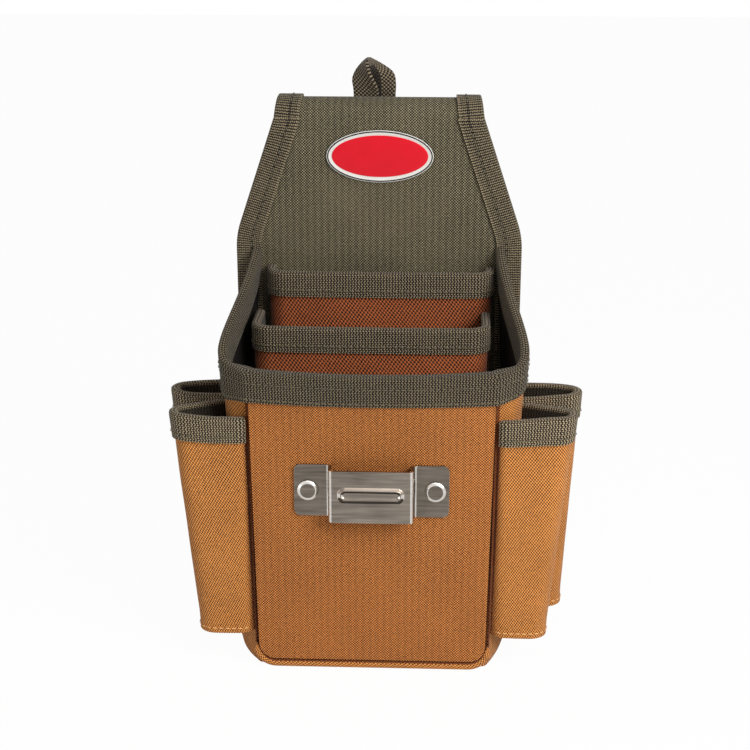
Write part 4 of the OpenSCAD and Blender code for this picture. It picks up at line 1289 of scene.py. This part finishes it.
def makeClip():
    outY = body["frontY"] - clip["out"]
    x, r = clip["bridge"] / 2, clip["bend"] + clip["thick"] / 2
    foot = clip["foot"]
    line = ([Vector((-clip["w"] / 2, clipFace))]
            + arc((-x - foot, clipFace - foot), foot, 90, 0, 6) + arc((-x + r, outY + r), r, 180, 270, 8)
            + arc((x - r, outY + r), r, 270, 360, 8) + arc((x + foot, clipFace - foot), foot, 180, 90, 6)
            + [Vector((clip["w"] / 2, clipFace))])
    length, at = trail(line)

    def halfHeight(px):
        c = clip["corner"]
        past = max(0.0, abs(px) - (clip["w"] / 2 - c))
        return clip["h"] / 2 - c + math.sqrt(max(0.0, c * c - past * past))

    # a long bead is pressed out round a shallow trough
    def bead(px, z):
        if abs(px) >= x - clip["ribRoom"]:
            return 0.0
        edge = clip["ribWidth"] / 2
        gap = math.hypot(max(abs(px) - clip["ribLength"] / 2 + edge, 0.0), z)
        wall = clip["ribWall"] * (1 - clip["ribSoft"] * z / max(gap, 0.1))
        sunk = clip["ribSink"] * ease((edge - wall - gap) / clip["ribTrough"])
        return clip["ribRise"] * (ease((edge - gap) / wall) - sunk)

    def place(a, b):
        here = at(lerp(a, 0.5 - 0.5 * math.cos(math.pi * a), clip["crowd"]))
        z = (2 * b - 1) * halfHeight(here.x)
        return Vector((here.x, here.y - bead(here.x, z - clip["ribUp"]), clip["z"] + z))
    piece = gridSheet("tape_measure_clip", clip["columns"], clip["rows"], place,
                      lambda a, b: (a * length, b * clip["h"]))
    dress(piece, steel, paintedHighlightSteel, paintedLitSteel, paintedShadeSteel, paintedLitBridgeSteel)
    # the clip's lit and shaded copies of steel: faces tilted up take painted light, faces tilted down
    # painted shade
    for face in piece.data.polygons:
        above = face.center.z > (clip["z"] + clip["ribUp"]) * mm
        if face.normal.z < -clip["tilted"]:
            face.material_index = 3
        elif face.normal.z > clip["tilted"] and above:
            face.material_index = 2
        # the bends take a painted highlight
        elif clip["turned"][0] < abs(face.normal.x) < clip["turned"][1]:
            face.material_index = 1
        # the bridge plate takes painted light
        elif abs(face.center.x) < x * mm:
            face.material_index = 4
    thicken(piece, clip["thick"])
    # the soft edges take steel with a painted highlight
    roundEdges(piece, clip["edge"], 2, 60, finish=1)
    smooth(piece, 40)
    settle(piece, "pouch", "steel", "tape_clip")


makeClip()

rivet = dict(head=5.3, rise=1.6, flat=4.1, drop=0.8, ring=0.35, sink=0.15, shankR=2.0, shank=7.9, step=0.05,
             spread=1.6, tail=0.75, pitch=63.0, soft=0.18, slope=(-0.95, -0.3))


def makeRivet(name, x):
    deselectAll()
    bpy.ops.mesh.primitive_cylinder_add(vertices=48, radius=rivet["head"] * mm, depth=rivet["rise"] * mm,
                                        location=(0, 0, 0))
    piece = newest(name)
    editFaces(piece, lambda p: p.normal.z > 0.9)
    moveUp(-rivet["drop"])
    bpy.ops.mesh.inset(thickness=(rivet["head"] - rivet["flat"]) * mm)  # the bevelled ring
    moveUp(rivet["drop"])
    bpy.ops.mesh.inset(thickness=rivet["ring"] * mm)
    moveUp(-rivet["sink"])  # and its flat middle
    editFaces(piece, lambda p: p.normal.z < -0.9)
    bpy.ops.mesh.inset(thickness=(rivet["head"] - rivet["shankR"]) * mm)  # the shank starts inside the head
    pullUp(-rivet["shank"])
    pullUp(-rivet["step"])
    bpy.ops.transform.resize(value=(rivet["spread"], rivet["spread"], 1))
    pullUp(-rivet["tail"])
    bpy.ops.mesh.select_all(action="SELECT")
    bpy.ops.transform.rotate(value=-math.pi / 2, orient_axis="X", center_override=(0, 0, 0))
    bpy.ops.transform.translate(value=Vector((x, clipFace - rivet["rise"] / 2, clip["z"])) * mm)
    stopEdit()
    dress(piece, steel, paintedHighlightSteel)
    # the sloped ring and the soft edges take steel with a painted highlight
    for face in piece.data.polygons:
        face.material_index = 1 if rivet["slope"][0] < face.normal.y < rivet["slope"][1] else 0
    roundEdges(piece, rivet["soft"], 2, 25, finish=1)
    smooth(piece, 40)
    return piece


def makeRivets():
    pair = [makeRivet("clip_rivet_" + sideName, hand * rivet["pitch"] / 2)
            for sideName, hand in (("left", -1), ("right", 1))]
    for piece in pair:
        settle(piece, "pouch", "steel")
    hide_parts("clip_rivets")
    dress(bpy.data.objects["rivet_washers"], steel)  # kept as built, in the rivets' steel


makeRivets()

# Oval badge, left bare; each dome step has the share of the face that goes on

badge = dict(w=55.0, h=27.0, x=0.6, z=249.2, thick=1.6, lip=0.4, line=0.7, rim=1.6, sunk=0.9, soft=0.4,
             field=0.7, fieldAt=0.85, fieldRoom=0.1, fieldSoft=0.2, domeRise=0.09, dome=(0.92, 0.8, 0.6))


# An oval plate with its front face selected for editing
def ovalPlate(name, inset, thick, *finishes):
    deselectAll()
    bpy.ops.mesh.primitive_cylinder_add(vertices=96, radius=1, depth=1, location=(0, 0, 0))
    plate = newest(name)
    dress(plate, *finishes)
    editAll()
    half = (badge["w"] / 2 - inset, badge["h"] / 2 - inset)
    bpy.ops.transform.resize(value=(half[0] * mm, half[1] * mm, thick * mm), center_override=(0, 0, 0))
    editFaces(plate, lambda p: p.normal.z > 0.9)
    return plate


# The badge's outer wall, and not the wall round its field; it takes the dark finish as painted shadow
def onOuterWall(p):
    outward = p.center.x * p.normal.x + p.center.y * p.normal.y
    return abs(p.normal.z) < 0.5 and p.center.xy.length > 0.9 * badge["h"] / 2 * mm and outward > 0


def makeBadge():
    ring = ovalPlate("badge_rim_piece", 0.0, badge["thick"], badgeWhite, paintedDarkBadgeEdge)
    # the thin dark line between the lip and the white ring is a painted reflection
    for width, finish in ((badge["lip"], 1), (badge["line"], 0), (badge["rim"], 0)):
        # the ring left by each inset keeps the finish that its face had before
        bpy.ops.mesh.inset(thickness=width * mm)
        ring.active_material_index = finish
        bpy.ops.object.material_slot_assign()
    moveUp(-badge["sunk"])
    stopEdit()
    roundEdges(ring, badge["soft"], 4, 35)
    for p in ring.data.polygons:
        if onOuterWall(p):
            p.material_index = 1

    band = badge["lip"] + badge["line"] + badge["rim"] + badge["fieldRoom"]
    field = ovalPlate("badge_field_piece", band, badge["field"], badgeRed)
    for share in badge["dome"]:
        pullUp(badge["domeRise"])
        bpy.ops.transform.resize(value=(share, share, 1))
    stopEdit()
    roundEdges(field, badge["fieldSoft"], 3, 35)
    for piece, depth in ((ring, badge["thick"] / 2), (field, badge["thick"] - badge["fieldAt"])):
        for v in piece.data.vertices:
            x, y, z = v.co
            v.co = (badge["x"] * mm + x, (body["backY"] - depth) * mm - z, badge["z"] * mm + y)
        smooth(piece, 40)
    settle(ring, "pouch", "badge_white", "badge_rim_ring")
    settle(field, "pouch", "badge_red", "badge_field")


makeBadge()
